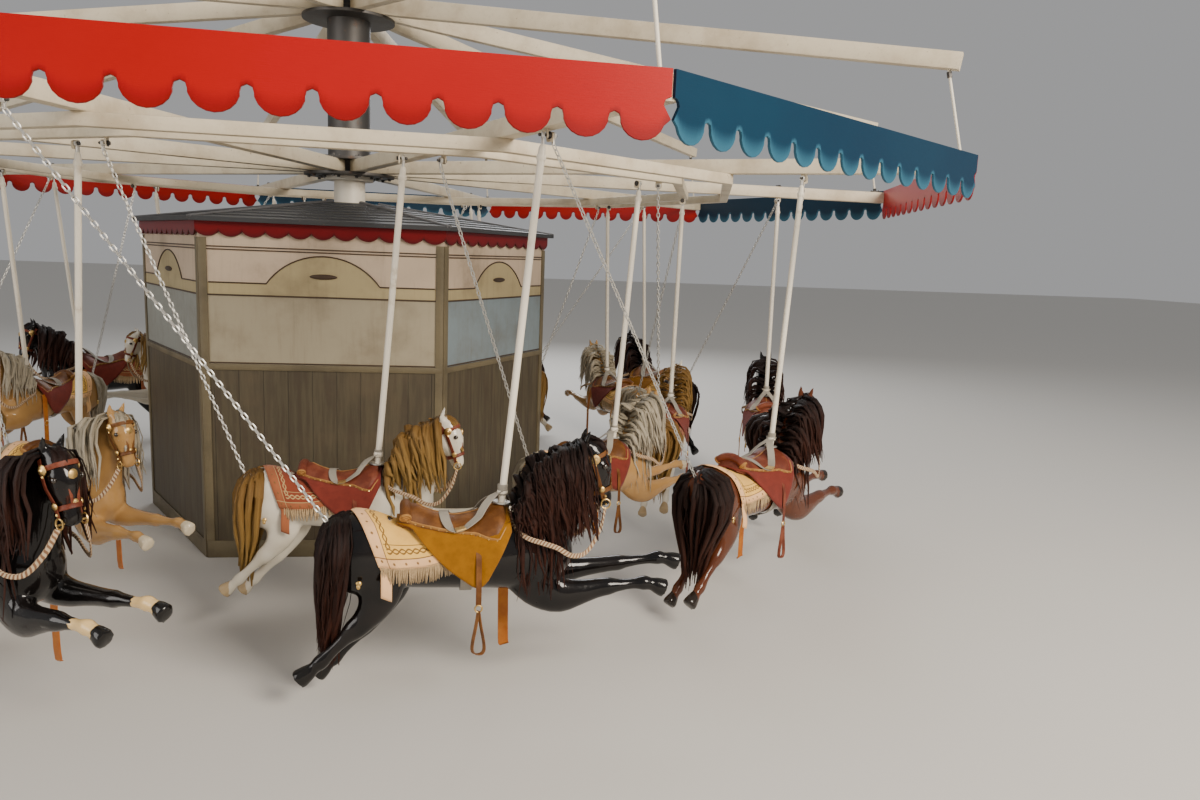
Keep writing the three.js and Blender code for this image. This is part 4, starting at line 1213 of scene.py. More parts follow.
def mane_layer(seed, near, far, brow, width, wave, sides, spread, count_along):
    """Locks from the crest: a full mass down both sides of the neck, with thin long ends at the
    shoulder on the near side, and a forelock over the brow."""
    draw = np.random.default_rng(seed)
    crest = smooth(CREST, 100)
    roots, ends, sags = [], [], []
    for side, count in ((-1, near), (1, far)):
        share = np.sort(draw.uniform(0.02, 1, count))
        root = crest[(share * 99).astype(int)] + draw.normal(0, 0.008, (count, 3))
        root[:, 1] += side * 0.010
        low = -0.110 + 0.050 * draw.uniform(-1, 1, count)
        long_ones = (draw.uniform(0, 1, count) < 0.20) & (share < 0.72)
        low = np.where(long_ones, -0.29 - 0.12 * draw.uniform(0, 1, count), low)
        low = np.where(side > 0, np.maximum(low, -0.22), low)
        x = 0.085 + 0.300 * share ** 1.1 - 0.06 * long_ones * share + draw.normal(0, spread, count)
        roots.append(root)
        ends.append(in_columns(x, side * (0.115 + 0.045 * draw.uniform(0, 1, count)), low))
        bulge = np.exp(-((share - 0.44) / 0.22) ** 2) * draw.uniform(0.4, 1.1, count)
        sags.append(in_columns(-0.026 - 0.050 * bulge, side * 0.060, 0.060 + 0.110 * bulge))
    roots.append(np.array([0.356, 0, 0.262]) + draw.normal(0, 0.010, (brow, 3)))
    x, y, z = draw.normal(0, 0.010, brow), draw.uniform(-0.05, 0.05, brow), draw.normal(0, 0.03, brow)
    ends.append(in_columns(0.452 + x, y, 0.10 + z))
    sags.append(np.tile([0.050, 0, 0.020], (brow, 1)))
    widths = draw.uniform(0.6, 1.1, near + far + brow) * width
    return hair_locks(*map(np.concatenate, (roots, ends, sags)), widths, seed + 1, count_along, wave, sides)


def off_rump(path, clearance=0.010):
    """Moves points that lie in the rump or a haunch out to its ellipsoid, straight from its middle."""
    for centre, radii in (RUMP, *HAUNCHES):
        offset = path - centre
        reach = np.linalg.norm(offset / (np.array(radii) + clearance), axis=-1, keepdims=True)
        path = np.where(reach < 1, centre + offset / np.maximum(reach, 1e-6), path)
    return path


def tail_layer(seed, count, width, wave, sides, count_along):
    """Locks from the top of the rump that lie over both haunches and fall together behind them."""
    draw = np.random.default_rng(seed)
    share, side = draw.uniform(0, 1, count), draw.uniform(-1, 1, count)
    out = np.abs(side)
    root_x = -0.640 - 0.088 * share
    root_z = np.interp(root_x, [-0.744, -0.704, -0.635], [-0.120, -0.073, -0.054])
    root = in_columns(root_x, 0.030 * side, root_z)
    end = in_columns(-0.700 - 0.070 * share, 0.060 * side - 0.012, -0.640 + draw.normal(0, 0.045, count))
    sag = in_columns((0.120 - 0.120 * share) * out - 0.070 * (1 - out), 0.225 * side, 0.050)
    widths = draw.uniform(0.6, 1.1, count) * width
    return hair_locks(root, end, sag, widths, seed + 1, count_along, wave, sides, off_rump)


def hair(fine):
    """Mane and tail: a body of broad locks with a top layer of thin strands, more of them on the fine one."""
    # Mane: seed, locks on both sides and over the brow, width, wave, sides, spread, points along a lock.
    # Tail: seed, locks, width, wave, sides, points along a lock.
    if fine:
        layers = [
            mane_layer(3, 84, 56, 12, 0.0155, 0.008, 4, 0.018, 10), tail_layer(11, 86, 0.018, 0.008, 4, 12),
            mane_layer(23, 340, 110, 24, 0.0048, 0.014, 3, 0.032, 8),
            tail_layer(31, 250, 0.0048, 0.014, 3, 8),
        ]
    else:
        layers = [
            mane_layer(3, 46, 30, 7, 0.0210, 0.008, 4, 0.018, 7), tail_layer(11, 46, 0.024, 0.008, 4, 7),
            mane_layer(23, 26, 14, 4, 0.0090, 0.013, 3, 0.030, 6), tail_layer(31, 18, 0.0090, 0.014, 3, 6),
        ]
    return marked(layers)


# Cloths under the saddle

CLOTH_LIFT = 0.008
REAR_BAND = 0.056
FRINGE_LENGTH = 0.074


def rear_edge(distance):
    """The blanket's rear edge, which leans forward as it goes down."""
    return -0.638 + 0.46 * np.abs(distance)


def blanket(rows, columns):
    """The blanket over both sides with the tail of its rear band: a surface, for each point its
    distances from the rear edge and from the hem in metres, and the two hems that carry a fringe."""
    share = np.linspace(-1, 1, columns)
    u = np.linspace(0, 1, rows)[:, None]
    hem = 0.262 - 0.104 * u
    distance = hem * share
    rear = rear_edge(distance)
    x = rear * (1 - u) + (-0.115) * u
    ripple = 0.006 * np.abs(share) ** 4 * (1 + np.sin(u * 19 + share * 3))
    points = over_back(x, distance, CLOTH_LIFT + ripple)
    shells = [grid(points)]
    marks = [in_columns(x - rear, hem - np.abs(distance))]
    for side in (-1, 1):
        reach = np.linspace(0.250, 0.390, 12)[:, None]
        across = np.linspace(0.003, REAR_BAND - 0.008, 5)
        strip_x = rear_edge(np.minimum(reach, 0.275)) + across
        strip = over_back(strip_x, side * reach, CLOTH_LIFT + 0.003 + 0.005 * np.sin(reach * 40))
        shells.append(grid(strip if side < 0 else strip[:, ::-1]))
        marks.append(np.broadcast_to(in_columns(across, 0.2), (12, 5, 2)))
    marks = np.concatenate([mark.reshape(-1, 2) for mark in marks])
    return together(shells), marks, (points[1:, 0], points[1:, -1])


def felt_drop(x):
    """How far down each side the felt reaches: a triangle with its tip below the saddle."""
    return np.interp(
        x, [-0.456, -0.390, -0.128, -0.100, -0.068, 0.035], [0.056, 0.082, 0.312, 0.325, 0.305, 0.130])


def felt_pad(rows, columns):
    """The felt between blanket and saddle, as points [row, column]. It lies over the edge of the
    saddle's tree, a bell curve in the distance past the seat, and comes down to the blanket below."""
    x = np.linspace(-0.456, 0.035, rows)[:, None]
    share = np.linspace(-1, 1, columns)
    distance = felt_drop(x) * share
    past_seat = np.maximum(np.abs(distance) - seat_edge(x), 0)
    swell = 0.023 * np.exp(-(past_seat / 0.045) ** 2) * np.interp(x, [-0.456, -0.400], [0.2, 1.0])
    return over_back(x, distance, CLOTH_LIFT + 0.009 + 0.003 * np.abs(share) ** 3 + swell)


def shell_area(shell):
    """The area of a surface's four-sided faces."""
    p = shell.points[shell.quads]
    return 0.5 * np.linalg.norm(np.cross(p[:, 2] - p[:, 0], p[:, 3] - p[:, 1]), axis=-1).sum()


def fringe(edge_points, length, every, seed):
    """Strands hanging from a line of points, each a thin taper with a slight swing."""
    draw = np.random.default_rng(seed)
    distance = np.concatenate([[0], np.cumsum(np.linalg.norm(np.diff(edge_points, axis=0), axis=1))])
    count = int(distance[-1] / every)
    at = (np.arange(count) + 0.5) * every
    roots = np.stack([np.interp(at, distance, edge_points[:, k]) for k in range(3)], 1) + [0, 0, 0.006]
    swing = draw.normal(0, 0.005, (count, 3)) * [1, 0.5, 0]
    drop = length * draw.uniform(0.86, 1.06, count)
    thick = 0.0036 * np.array([0.8, 1.0, 0.4]) * (every / 0.0042) ** 0.5
    section = oval(4, 1.0, 0.5)
    pieces, marks = [], []
    for root, lean, fall in zip(roots, swing, drop):
        path = straight(root, root + lean - [0, 0, fall], 3)
        pieces.append(carried(path, section, (1, 0, 0), thick))
        marks.append(np.full(len(pieces[-1].points), draw.uniform()))
    return together(pieces), np.concatenate(marks)


# Saddle and tack

SEAT_REAR, SEAT_FRONT = -0.450, 0.030


def seat_edge(x):
    """Distance from the spine to the seat's lower edge, which falls away forwards."""
    return np.interp(
        x, [-0.450, -0.415, -0.31, -0.20, -0.11, -0.06, -0.016, 0.03],
        [0.058, 0.066, 0.078, 0.102, 0.122, 0.148, 0.162, 0.100])


def seat_rise(x, share):
    """Height of the seat's top over the back: high at cantle and pommel, thin at its edges."""
    crown = np.interp(x, [-0.450, -0.418, -0.385, -0.30, -0.20, -0.10, -0.03, 0.03],
                      [0.040, 0.056, 0.058, 0.038, 0.018, 0.020, 0.034, 0.040])
    share = np.abs(share)
    rim = np.interp(x, [-0.30, -0.06, 0.03], [0.044, 0.040, 0.028])
    return rim + crown * (1 - np.minimum(share * 1.05, 1) ** 2.2) * (1 - 0.15 * share)


def saddle():
    """A padded leather seat: the upper surface rises by seat_rise, the lower lies on the felt, a
    scrolled roll crosses the cantle and a tacked binding runs along both lower edges."""
    x = np.linspace(SEAT_REAR, SEAT_FRONT, 40)[:, None]
    share = np.linspace(-1, 1, 33)
    end = np.minimum(np.minimum((x - SEAT_REAR) / 0.020, (SEAT_FRONT - x) / 0.016), 1) ** 0.5
    crown = over_back(x, seat_edge(x) * share, 0.020 + (seat_rise(x, share) - 0.020) * end)
    under = over_back(x, seat_edge(x) * share[::-1], 0.018)
    seat = grid(np.concatenate([crown, under], 1), close_columns=True, caps=True)
    bow = np.linspace(-1, 1, 25)
    roll_path = over_back(SEAT_REAR + 0.012 + 0.010 * bow ** 2, 0.064 * bow, 0.083 - 0.018 * bow ** 2)
    pieces = [seat, carried(roll_path, oval(16), (1, 0, 0), 0.0235 * (1 - 0.08 * bow ** 2))]
    for tip, before in ((roll_path[0], roll_path[1]), (roll_path[-1], roll_path[-2])):
        out = unit(tip - before)
        for size, deep in ((0.0250, 0.004), (0.0165, 0.008), (0.0080, 0.012)):
            pieces.append(rod(tip - out * 0.006, tip + out * deep, oval(18, size), (1, 0, 0), finish=1))
    bindings, tacks = [], []
    along = np.linspace(SEAT_REAR + 0.012, SEAT_FRONT - 0.008, 40)
    for side in (-1, 1):
        rim = over_back(along, side * (seat_edge(along) - 0.007), seat_rise(along, 0.97) + 0.002)
        bindings.append(carried(rim, rounded(0.024, 0.006, 0.0025), (0.0, side * 0.5, 1), finish=1))
        for place in rim[2:-1:3]:
            tacks.append(ball(place + [0, side * 0.004, 0.002], (0.0048, 0.0036, 0.0048), 4, 8, finish=2))
    ridge = over_back(along, 0.0 * along, seat_rise(along, 0) + 0.001)
    seam = carried(ridge[4:-3], oval(6, 0.003, 0.002), SIDEWAYS, finish=1)
    return together([*pieces, *bindings, *tacks, seam])


def strap(path, width=0.022, thickness=0.004, across=UPWARDS, finish=0, closed=False):
    """A flat strap along a path, lying with its width towards `across`."""
    return carried(path, rounded(width, thickness, thickness * 0.4, 2), across, closed=closed, finish=finish)


def ring_loop(centre, radius, wire):
    """A round wire ring in the upright plane along the horse."""
    c, s = arc(radius, ring_angles(16)).T
    path = np.asarray(centre) + in_columns(c, 0.0, -s)
    return carried(path, oval(8, wire), SIDEWAYS, closed=True, finish=1)


def head_ring(station):
    """A closed loop round the head at a station from 0, the poll, to 1, the lips, and its direction."""
    rows = smooth(HEAD, 101)
    at = int(station * 100)
    row = rows[at]
    direction = unit(rows[min(at + 3, 100)][:2] - rows[max(at - 3, 0)][:2])
    y, out = oval(28, row[2] + 0.006, row[3] + 0.006, 2.2).T
    loop = in_columns(row[0] - direction[1] * out, y, row[1] + direction[0] * out)
    return loop, (direction[0], 0, direction[1])


def bridle():
    """Head straps with rosettes, a bit with rings, and braided reins that hang slack from the bit and
    run back along the neck to the withers."""
    pieces = []
    for station in (0.22, 0.62):
        ring, direction = head_ring(station)
        pieces.append(strap(ring, 0.020, 0.004, direction, 0, True))
    for side in (-1, 1):
        cheek = smooth([
            [0.352, side * 0.046, 0.215], [0.388, side * 0.064, 0.172], [0.408, side * 0.065, 0.118],
            [0.428, side * 0.050, 0.060], [0.446, side * 0.045, 0.000]], 16)
        brow = smooth([
            [0.444, side * 0.024, 0.186], [0.474, side * 0.018, 0.130], [0.482, side * 0.014, 0.080],
            [0.480, side * 0.012, 0.040]], 12)
        rein = smooth([
            [0.452, side * 0.056, -0.040], [0.424, side * 0.092, -0.128], [0.362, side * 0.134, -0.210],
            [0.292, side * 0.164, -0.216], [0.226, side * 0.176, -0.176], [0.160, side * 0.176, -0.152],
            [0.098, side * 0.158, -0.134], [0.050, side * 0.112, -0.104], [0.030, side * 0.040, -0.056]], 40)
        pieces += [
            strap(cheek, 0.018, 0.004, (1, 0, 0.2)), strap(brow, 0.012, 0.004, SIDEWAYS),
            ball((0.398, side * 0.067, 0.184), (0.023, 0.008, 0.023), 7, 16, finish=1),
            ball((0.398, side * 0.074, 0.184), (0.010, 0.006, 0.010), 5, 12, finish=1),
            ball((0.436, side * 0.052, 0.046), (0.015, 0.007, 0.015), 7, 14, finish=1),
            ring_loop((0.455, side * 0.050, -0.020), 0.021, 0.0036), strap(rein, 0.022, 0.007, UPWARDS, 2),
            ball((0.400, side * 0.068, 0.158), (0.0065, 0.005, 0.0065), 4, 8, finish=1),
            ball((0.452, side * 0.056, 0.016), (0.0065, 0.005, 0.0065), 4, 8, finish=1),
        ]
    return [
        *pieces, ball((0.476, 0, 0.168), (0.008, 0.019, 0.022), 7, 16, finish=1),
        ball((0.482, 0, 0.062), (0.007, 0.013, 0.013), 6, 12, finish=1),
        rod((0.457, -0.056, -0.022), (0.457, 0.056, -0.022), oval(8, 0.004), (1, 0, 0), 6, 1),
    ]


def girth():
    """A webbing girth round the barrel under the saddle."""
    x = -0.155
    centre, high, wide = barrel_at(x, 200)
    y, z = oval(44, wide + 0.008, high + 0.008, BARREL_POWER).T
    return strap(in_columns(x, y, centre + z), 0.05, 0.004, (1, 0, 0), 0, True)


def side_straps():
    """On the right side a leather with a ring and a pointed sling below it as a foot hold, on the left
    one broad strap with a ring and a turned-up end."""
    x, y, ring_z, low = -0.105, -0.184, -0.432, -0.628
    leather = smooth([
        over_back(x, -0.112, 0.046), over_back(x, -0.205, 0.026), [x, y + 0.002, -0.31],
        [x, y, ring_z + 0.012]], 18)
    sling = smooth([
        [x, y, ring_z - 0.010], [x - 0.010, y, -0.51], [x - 0.024, y, -0.595], [x - 0.020, y, low],
        [x + 0.002, y, low - 0.009], [x + 0.022, y, low], [x + 0.026, y, -0.595], [x + 0.011, y, -0.51],
        [x + 0.001, y, ring_z - 0.011]], 40)
    broad = smooth([
        over_back(0.010, 0.170, 0.030), [0.030, 0.186, -0.34], [0.034, 0.186, -0.56], [0.038, 0.188, -0.740],
        [0.046, 0.196, -0.768]], 24)
    return [
        strap(leather, 0.024, 0.004, (1, 0, 0)), ring_loop((x, y, ring_z), 0.015, 0.0038),
        strap(sling, 0.018, 0.005, (1, -1, 0)),
        strap(broad, 0.048, 0.005, (1, 0, 0), 3), ring_loop((0.031, 0.190, -0.40), 0.020, 0.0034),
    ]


def safety_belt():
    """Grey webbing from a sleeve on the pole, lying back over the seat, with a brass buckle."""
    turn = np.linspace(-1, 1, 61)
    x = 0.012 - 0.262 * np.cos(turn * math.pi / 2) ** 0.8
    distance = 0.092 * np.sin(turn * math.pi)
    share = np.abs(distance) / seat_edge(x)
    lift = seat_rise(x, share) + 0.006 + 0.040 * np.maximum(np.abs(turn) - 0.80, 0) / 0.20
    loop = np.concatenate([
        [[0.012, -0.020, SLEEVE_HEIGHT]], over_back(x, distance, lift), [[0.012, 0.020, SLEEVE_HEIGHT]]])
    across = unit(np.cross(UPWARDS, np.gradient(loop, axis=0)))
    c, s = arc(0.0205, ring_angles(20)).T
    sleeve = in_columns(c + 0.003, s, SLEEVE_HEIGHT)
    at = len(loop) // 4
    middle = loop[at] + [0, 0, 0.004]
    low, high = middle - [0.020, 0.004, 0.002], middle + [0.020, 0.004, 0.006]
    buckle = rod(low, high, rounded(0.050, 0.007, 0.002), across[at], 3, 1)
    return [strap(loop, 0.042, 0.004, across), strap(sleeve, 0.046, 0.005, UPWARDS, 0, True), buckle]


def haunch_drops():
    """A brass drop and rosette on each haunch."""
    pieces = []
    for side in (-1, 1):
        place = over_back(-0.596, side * 0.350, 0.008)
        pieces.append(ball(place, (0.013, 0.007, 0.012), 7, 14, finish=1))
        pieces.append(ball(place - [0.002, 0, 0.015], (0.009, 0.006, 0.011), 6, 12, finish=1))
    return pieces


# Hanging gear

def pole(foot_x, drop):
    """The white pole from the eye on its pin down into the withers, with a fork below the eye and
    rings at both ends. The origin is the pin."""
    foot = np.array([foot_x, 0, -drop])
    start = np.array([0, 0, -0.040])
    direction = unit(foot - start)
    length = np.linalg.norm(foot - start) + 0.10

    def point(at):
        return start + direction * at

    t = np.array([0, 0.012, 0.02, 0.06, 0.07, 0.5, 1.0, *np.linspace(length - 0.2, length, 5)])
    radius = np.interp(t, [0, 0.012, 0.02], [0.010, 0.0142, POLE_RADIUS])
    shank = rod((0, 0, -0.013), (-0.001, 0, -0.048), rounded(0.012, 0.018, 0.003), (1, 0, 0), 4, 1)
    pieces = [carried(point(t[:, None]), oval(24), SIDEWAYS, radius), eye_plate(1), shank]
    for at, size in ((0.052, 0.0205), (length - 0.13, 0.0235)):
        ends = straight(point(at - 0.012), point(at + 0.012), 4)
        pieces.append(carried(ends, oval(24, size), SIDEWAYS, np.array([0.9, 1, 1, 0.9])))
    plate = point(length - 0.085)
    pieces.append(rod(plate, plate + direction * 0.006, oval(24, 0.038), finish=1))
    for x, y in arc(0.029, ring_angles(4) + 0.6):
        pieces.append(ball(plate + [x, y, 0], (0.004, 0.004, 0.003), 4, 8, finish=1))
    return together(pieces)


def eye_plate(finish=0):
    """The flat ring that turns on a pin, square to the direction of travel."""
    y, z = arc(0.0115, ring_angles(20)).T
    section = rounded(0.014, 0.0085, 0.002, 2)
    return carried(in_columns(0.0, y, z), section, (1, 0, 0), closed=True, finish=finish)


def chain(start, end, sides, bends):
    """Short links end to end on a straight line, every second one turned a quarter. A link is a loop
    of two straights and two half circles whose ends lap those of its neighbours."""
    start, end = np.asarray(start, float), np.asarray(end, float)
    direction = unit(end - start)
    count = int(round(np.linalg.norm(end - start) / LINK_PITCH))
    pitch = np.linalg.norm(end - start) / count
    side = np.array(SIDEWAYS)
    up = np.cross(direction, side)
    reach = pitch / 2 + LINK_WIRE * 0.6 - LINK_RADIUS * 0.5 - 0.004
    bend = arc(LINK_RADIUS, np.linspace(-math.pi / 2, math.pi / 2, bends))
    loop = np.concatenate([bend + [reach, 0], -bend - [reach, 0]])
    pieces = []
    for number in range(count):
        centre = start + direction * pitch * (number + 0.5)
        flat = side if number % 2 else up
        path = centre + loop[:, :1] * direction + loop[:, 1:] * flat
        pieces.append(carried(path, oval(sides, LINK_WIRE), np.cross(direction, flat), closed=True))
    return together(pieces)


def chain_eye():
    """The eye on the chain's pin and the shackle below it."""
    shackle = rod((0, 0, -0.013), (0.002, 0, -0.036), rounded(0.012, 0.014, 0.003), (1, 0, 0), 4)
    return together([eye_plate(), shackle])


# Horses, dressed and hung

POLE_RADIUS = 0.0159
SLEEVE_HEIGHT = 0.040
LINK_PITCH = 0.0268
LINK_WIRE = 0.0037
LINK_RADIUS = 0.0075
POLE_LEAN = 0.136
OUTER_DROP = 1.547
INNER_DROP = 1.490
INNER_SCALE = 0.88
RUMP_EYE = np.array([-0.738, 0, -0.092])

LEATHER_TAN = leather("leather_tan", (0.105, 0.036, 0.007), (0.200, 0.078, 0.017))
LEATHER_RED = leather("leather_red", (0.12, 0.025, 0.012), (0.22, 0.06, 0.028))
LEATHER_ORANGE = leather("leather_orange", (0.40, 0.110, 0.010), (0.50, 0.165, 0.020))
BINDING = leather("binding_tan", (0.32, 0.150, 0.040), (0.46, 0.240, 0.075))
FELT_MUSTARD = felt("felt_mustard", (0.310, 0.125, 0.001), (0.185, 0.070, 0.001))
FELT_RED = felt("felt_red", (0.20, 0.032, 0.020), (0.12, 0.02, 0.014))
BLANKET_IVORY = blanket_cloth(
    "blanket_ivory", (0.88, 0.52, 0.12), (0.62, 0.34, 0.07), (0.84, 0.50, 0.25), (0.11, 0.044, 0.010))
BLANKET_RUST = blanket_cloth(
    "blanket_rust", (0.24, 0.050, 0.022), (0.16, 0.036, 0.018), (0.34, 0.11, 0.045), (0.50, 0.36, 0.16))
FRINGE_IVORY = strands("fringe_ivory", (0.52, 0.36, 0.19), (0.76, 0.56, 0.34), 0.75)
HAIR_BLACK = strands("hair_black", (0.007, 0.0025, 0.0015), (0.074, 0.017, 0.006), 0.42)
HAIR_GOLD = strands("hair_gold", (0.17, 0.085, 0.018), (0.50, 0.31, 0.09), 0.42)
HAIR_WHITE = strands("hair_white", (0.36, 0.31, 0.22), (0.66, 0.59, 0.46), 0.45)
BRAID = braided("braid", (0.54, 0.41, 0.26), (0.20, 0.100, 0.050), 40.0)
WEBBING = braided("webbing", (0.36, 0.33, 0.27), (0.27, 0.24, 0.195), 260.0)
BLACK_COAT = (0.004, 0.0035, 0.0035), (0.020, 0.014, 0.012), (0.008, 0.007, 0.006)
BLACK_LACQUER = lacquer("black_lacquer", *BLACK_COAT)
SOCK_LACQUER = lacquer("black_sock_lacquer", *BLACK_COAT, (0.80, 0.55, 0.24))
BAY_LACQUER = lacquer("bay_lacquer", (0.10, 0.028, 0.010), (0.055, 0.016, 0.008), (0.02, 0.014, 0.010))
WHITE_LACQUER = lacquer("white_lacquer", (0.70, 0.65, 0.54), (0.50, 0.42, 0.30), (0.46, 0.34, 0.19))
GOLD_LACQUER = lacquer("palomino_lacquer", (0.42, 0.24, 0.085), (0.28, 0.14, 0.05), (0.56, 0.48, 0.34))
EYE_GLASS = Finish("eye_glass", roughness=0.05, base_color=(0.02, 0.012, 0.006), coat_weight=1.0).material

BLACK_MANE = (HAIR_BLACK, "horsehair")
GOLD_MANE, WHITE_MANE = (HAIR_GOLD, "golden_hair"), (HAIR_WHITE, "golden_hair")
TAN, RED = (LEATHER_TAN, "saddle_leather"), (LEATHER_RED, "leather_red")
MUSTARD, RUST = (FELT_MUSTARD, "cloth_mustard"), (FELT_RED, "cloth_rust")
IVORY_CLOTH, RUST_CLOTH = (BLANKET_IVORY, "cloth_ivory"), (BLANKET_RUST, "cloth_rust")
LIVERIES = {
    "night": ((BLACK_LACQUER, "horse_black"), BLACK_MANE, TAN, MUSTARD, IVORY_CLOTH),
    "sock": ((SOCK_LACQUER, "horse_black"), BLACK_MANE, RED, RUST, RUST_CLOTH),
    "bay": ((BAY_LACQUER, "horse_bay"), BLACK_MANE, RED, RUST, IVORY_CLOTH),
    "snow": ((WHITE_LACQUER, "horse_white"), GOLD_MANE, RED, RUST, RUST_CLOTH),
    "gold": ((GOLD_LACQUER, "horse_cream"), WHITE_MANE, TAN, RUST, IVORY_CLOTH),
}
OUTER_LIVERIES = ["night", "bay", "sock", "night", "bay", "night", "sock", "bay", "night", "sock"]
INNER_LIVERIES = ["snow", "gold"] * 5


def build_horse_parts():
    """Every part of a horse in its own frame, made once in a fine and once in a plain grade."""
    forms = carved_forms()
    eyes = [ball((0.443, side * 0.056, 0.150), (0.014, 0.009, 0.012), 8, 14, finish=1) for side in (-1, 1)]
    seat, belt = saddle(), together([girth(), *safety_belt()])
    tack = together([*bridle(), *side_straps(), *haunch_drops()])
    parts = {}
    for grade, voxel, rounds, share, every, size in (
        ("fine", 0.0080, 5, 0.48, 0.0034, (36, 41)), ("plain", 0.0110, 4, 0.235, 0.0120, (17, 21)),
    ):
        fine = grade == "fine"
        cloth, marks, hems = blanket(*size)
        pad = grid(felt_pad(*size))
        parts[grade] = {
            "carving": together([skin_of(forms, voxel, rounds, share), *eyes]),
            "hair": hair(fine),
            "blanket": cloth, "blanket_marks": marks, "blanket_area": shell_area(cloth),
            "felt": pad, "felt_area": shell_area(pad),
            "fringe": marked([
                fringe(line, FRINGE_LENGTH, every, 20 + number) for number, line in enumerate(hems)]),
            "saddle": seat if fine else thinned(seat, 0.27),
            "tack": tack if fine else thinned(tack, 0.35),
            "belt": belt if fine else thinned(belt, 0.40),
        }
    return parts


def hang_horse(parts, row, number, place, livery, scale, drop, chord, link_size):
    """Puts a dressed horse with its pole and chain at its pin, on its own body."""
    (coat, coat_slot), (mane, mane_slot), (hide, hide_slot), (felted, felt_slot), (woven, woven_slot) = livery
    body = f"{row}_horse_{number}"
    foot = np.array([-POLE_LEAN * scale, 0, -drop])
    frame_matrix = place @ turned(0.0, foot, scale)

    def put(kind, shell, finishes, marks=None, stands_for=(), crease=38):
        marks = dict(marks or {}, horse_place=shell.points)
        name, placed = f"{row}_{kind}_{number}", shell.placed(frame_matrix)
        return add_piece(name, placed, body, finishes, stands_for, marks, crease)

    carving = parts["carving"]
    put("carving", carving, [coat, EYE_GLASS], {"hoof": hoof_share(carving.points)}, (body,))
    locks, lock_marks = parts["hair"]
    put("hair", locks, [mane], {"lock": lock_marks}, crease=180)
    from_rear, from_hem = parts["blanket_marks"].T
    woven_marks = {"from_rear": from_rear, "from_hem": from_hem}
    cloth = put("blanket", parts["blanket"], [woven], woven_marks)
    threads, thread_marks = parts["fringe"]
    strands_piece = put("fringe", threads, [FRINGE_IVORY], {"lock": thread_marks}, crease=180)
    pad = put("felt", parts["felt"], [felted])
    for piece, thickness in ((cloth, 0.003), (pad, 0.006)):
        solid = piece.modifiers.new("thickness", "SOLIDIFY")
        solid.thickness, solid.offset = thickness * scale, 0.0
    seat = put("saddle", parts["saddle"], [hide, BINDING, BRASS])
    put("tack", parts["tack"], [hide, BRASS, BRAID, LEATHER_ORANGE])
    put("belt", parts["belt"], [WEBBING, BRASS])
    0.50 * scale
    0.56 * scale
    parts["blanket_area"] * scale ** 2
    0.46 * scale
    0.66 * scale
    parts["felt_area"] * scale ** 2
    hung_pole = pole(foot[0], drop).placed(place)
    add_piece(f"{row}_pole_{number}", hung_pole, body, [POLE_PAINT, ZINC])
    links = chain((-chord + 0.002, 0, -0.034), foot + RUMP_EYE * scale, *link_size)
    hung = together([links, chain_eye().placed(turned(0, (-chord, 0, 0)))])
    add_piece(f"{row}_chain_{number}", hung.placed(place), body, [ZINC])


def add_ring():
    """The turning frame's pieces. The boards are red and blue in turn."""
    board, rubbed = valance_board()
    # The boards' edge marks, which tint them towards the scalloped edge.
    edge_tint = {"edge": rubbed}
    sweep_shell, rafter_shell = sweep(), rafter()
    timber = [CREAM_TIMBER, IRON, POLE_PAINT]
    pieces = []
    for bay in range(BAYS):
        number = f"{bay + 1:02d}"
        spin, first = turned(bay * BAY_ANGLE), turned(FIRST_SWEEP_ANGLE + bay * BAY_ANGLE)
        paint, paint_slot = (BLUE_BOARD, "valance_blue") if bay % 2 else (RED_BOARD, "valance_red")
        pieces += [
            ("rim_board_", board.placed(spin), [paint], paint_slot, "valance_board_", number, edge_tint),
            ("sweep_timber_", sweep_shell.placed(first), timber[:2], "frame_white", "sweep_", number, None),
            ("rafter_timber_", rafter_shell.placed(first), timber, "frame_white", "rafter_", number, None),
        ]
    outer, inner = ring_beam(OUTER_BEAM_RADIUS, False), ring_beam(INNER_BEAM_RADIUS, True)
    pieces += [
        ("outer_ring_timber", outer, timber[:2], "frame_white", "outer_ring_beam", "", None),
        ("inner_ring_timber", inner, timber[:2], "frame_white", "inner_ring_beam", "", None),
        ("hub_iron", hub(), [IRON], "iron", "turning_hub", "", None),
    ]
    for name, shell, finishes, piece_slot, node, number, marks in pieces:
        add_piece(name + number, shell, "turning_frame", finishes, (node + number,), marks)


def add_middle():
    """The mast, its foot and the centre house, which stand still."""
    walls, cool = house_walls()
    # The band's edge marks tint it darker towards its scallops.
    band, rubbed = house_band()
    roof = together(on_each_side(roof_side()))
    wall_finishes = [HOUSE_WALL, HOUSE_TRIM, HOUSE_LINE]
    for name, shell, finishes, piece_slot, node, marks in (
        ("mast_tube", mast(), [POLE_PAINT, IRON], "mast_paint", "mast", None),
        ("foot_beams", mast_foot(), [IRON], "iron", "mast_foot", None),
        ("house_sides", walls, wall_finishes, "house_walls", "centre_house_walls", {"cool": cool}),
        ("house_lid", roof, [ROOF_BOARDS, ROOF_LEAD], "house_roof", "centre_house_roof", None),
        ("house_scallops", band, [HOUSE_BAND], "band_red", "centre_house_band", {"edge": rubbed}),
    ):
        add_piece(name, shell, "root", finishes, (node,), marks)


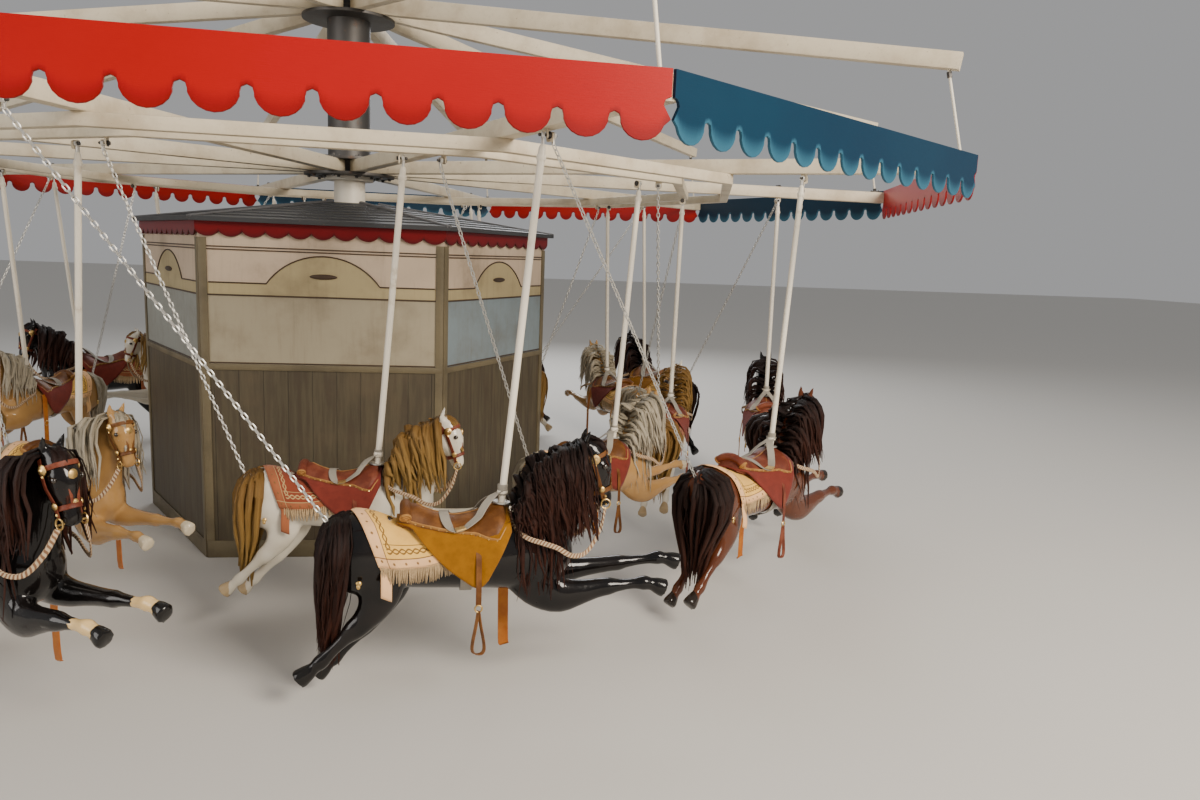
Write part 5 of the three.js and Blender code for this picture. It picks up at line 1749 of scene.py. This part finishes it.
def add_horses():
    """Both rows of horses. The hero bay's outer horse is of the fine grade."""
    parts = build_horse_parts()
    outer_pin, inner_pin = (*OUTER_POLE_TOP, OUTER_PIN_HEIGHT), (*INNER_POLE_TOP, INNER_PIN_HEIGHT)
    outer_chord = 2 * OUTER_POLE_TOP[0]
    inner_chord = float(np.linalg.norm(INNER_POLE_TOP - INNER_CHAIN_TOP))
    rows = (
        ("outer", outer_pin, 0.0, 1.0, OUTER_DROP, outer_chord, OUTER_LIVERIES),
        ("inner", inner_pin, INNER_YAW, INNER_SCALE, INNER_DROP, inner_chord, INNER_LIVERIES),
    )
    for row, pin, yaw, scale, drop, chord, liveries in rows:
        for bay, livery in enumerate(liveries):
            place = turned(bay * BAY_ANGLE) @ turned(yaw, pin)
            grade, link_size = ("fine", (6, 5)) if row == "outer" and bay == 0 else ("plain", (4, 4))
            number = f"{bay + 1:02d}"
            hang_horse(parts[grade], row, number, place, LIVERIES[livery], scale, drop, chord, link_size)


# Floor, light and camera

def add_stage():
    """A pale floor, soft daylight from all round and three studio lamps."""
    floor_finish = Finish("pale_floor", base_color=(0.62, 0.60, 0.56), roughness=0.8).material
    mesh = bpy.data.meshes.new("floor")
    mesh.from_pydata([(-60, -60, 0), (60, -60, 0), (60, 60, 0), (-60, 60, 0)], [], [(0, 1, 2, 3)])
    mesh.materials.append(floor_finish)
    floor = bpy.data.objects.new("floor", mesh)
    bpy.context.scene.collection.objects.link(floor)
    world = bpy.data.worlds.new("studio")
    world.use_nodes = True
    sky = world.node_tree.nodes["Background"].inputs
    sky["Color"].default_value = (0.85, 0.85, 0.86, 1)
    sky["Strength"].default_value = 0.42
    bpy.context.scene.world = world
    for name, place, size, power, colour in (
        ("key", (6.0, -10.0, 6.0), 4.0, 1500, (1.0, 0.90, 0.78)),
        ("fill", (-9.0, -7.0, 4.0), 6.0, 520, (1.0, 0.96, 0.92)),
        ("rim", (2.0, 9.0, 7.0), 6.0, 700, (0.95, 0.97, 1.0)),
    ):
        data = bpy.data.lights.new(name, "AREA")
        data.size, data.energy, data.color = size, power, colour
        lamp = bpy.data.objects.new(name, data)
        lamp.location = place
        lamp.rotation_euler = (Vector((0, 0, 1.4)) - Vector(place)).to_track_quat("-Z", "Y").to_euler()
        bpy.context.scene.collection.objects.link(lamp)


def add_camera():
    """The photograph's viewpoint: yaw to the right of +y, pitch down and roll, in radians."""
    place = (0.510, -6.991, 1.979)
    yaw, pitch, roll = 0.201, 0.161, 0.040
    forward = Vector((math.sin(yaw) * math.cos(pitch), math.cos(yaw) * math.cos(pitch), -math.sin(pitch)))
    level = Vector((math.cos(yaw), -math.sin(yaw), 0))
    over = level.cross(forward)
    right = level * math.cos(roll) + over * math.sin(roll)
    up = over * math.cos(roll) - level * math.sin(roll)
    data = bpy.data.cameras.new("camera")
    data.sensor_width, data.lens = 36.0, 27.0
    camera = bpy.data.objects.new("camera", data)
    turn = Matrix((right, up, -forward)).transposed().to_4x4()
    camera.matrix_world = Matrix.Translation(place) @ turn
    bpy.context.scene.collection.objects.link(camera)
    bpy.context.scene.camera = camera


add_camera()
add_stage()
add_ring()
add_middle()
add_horses()
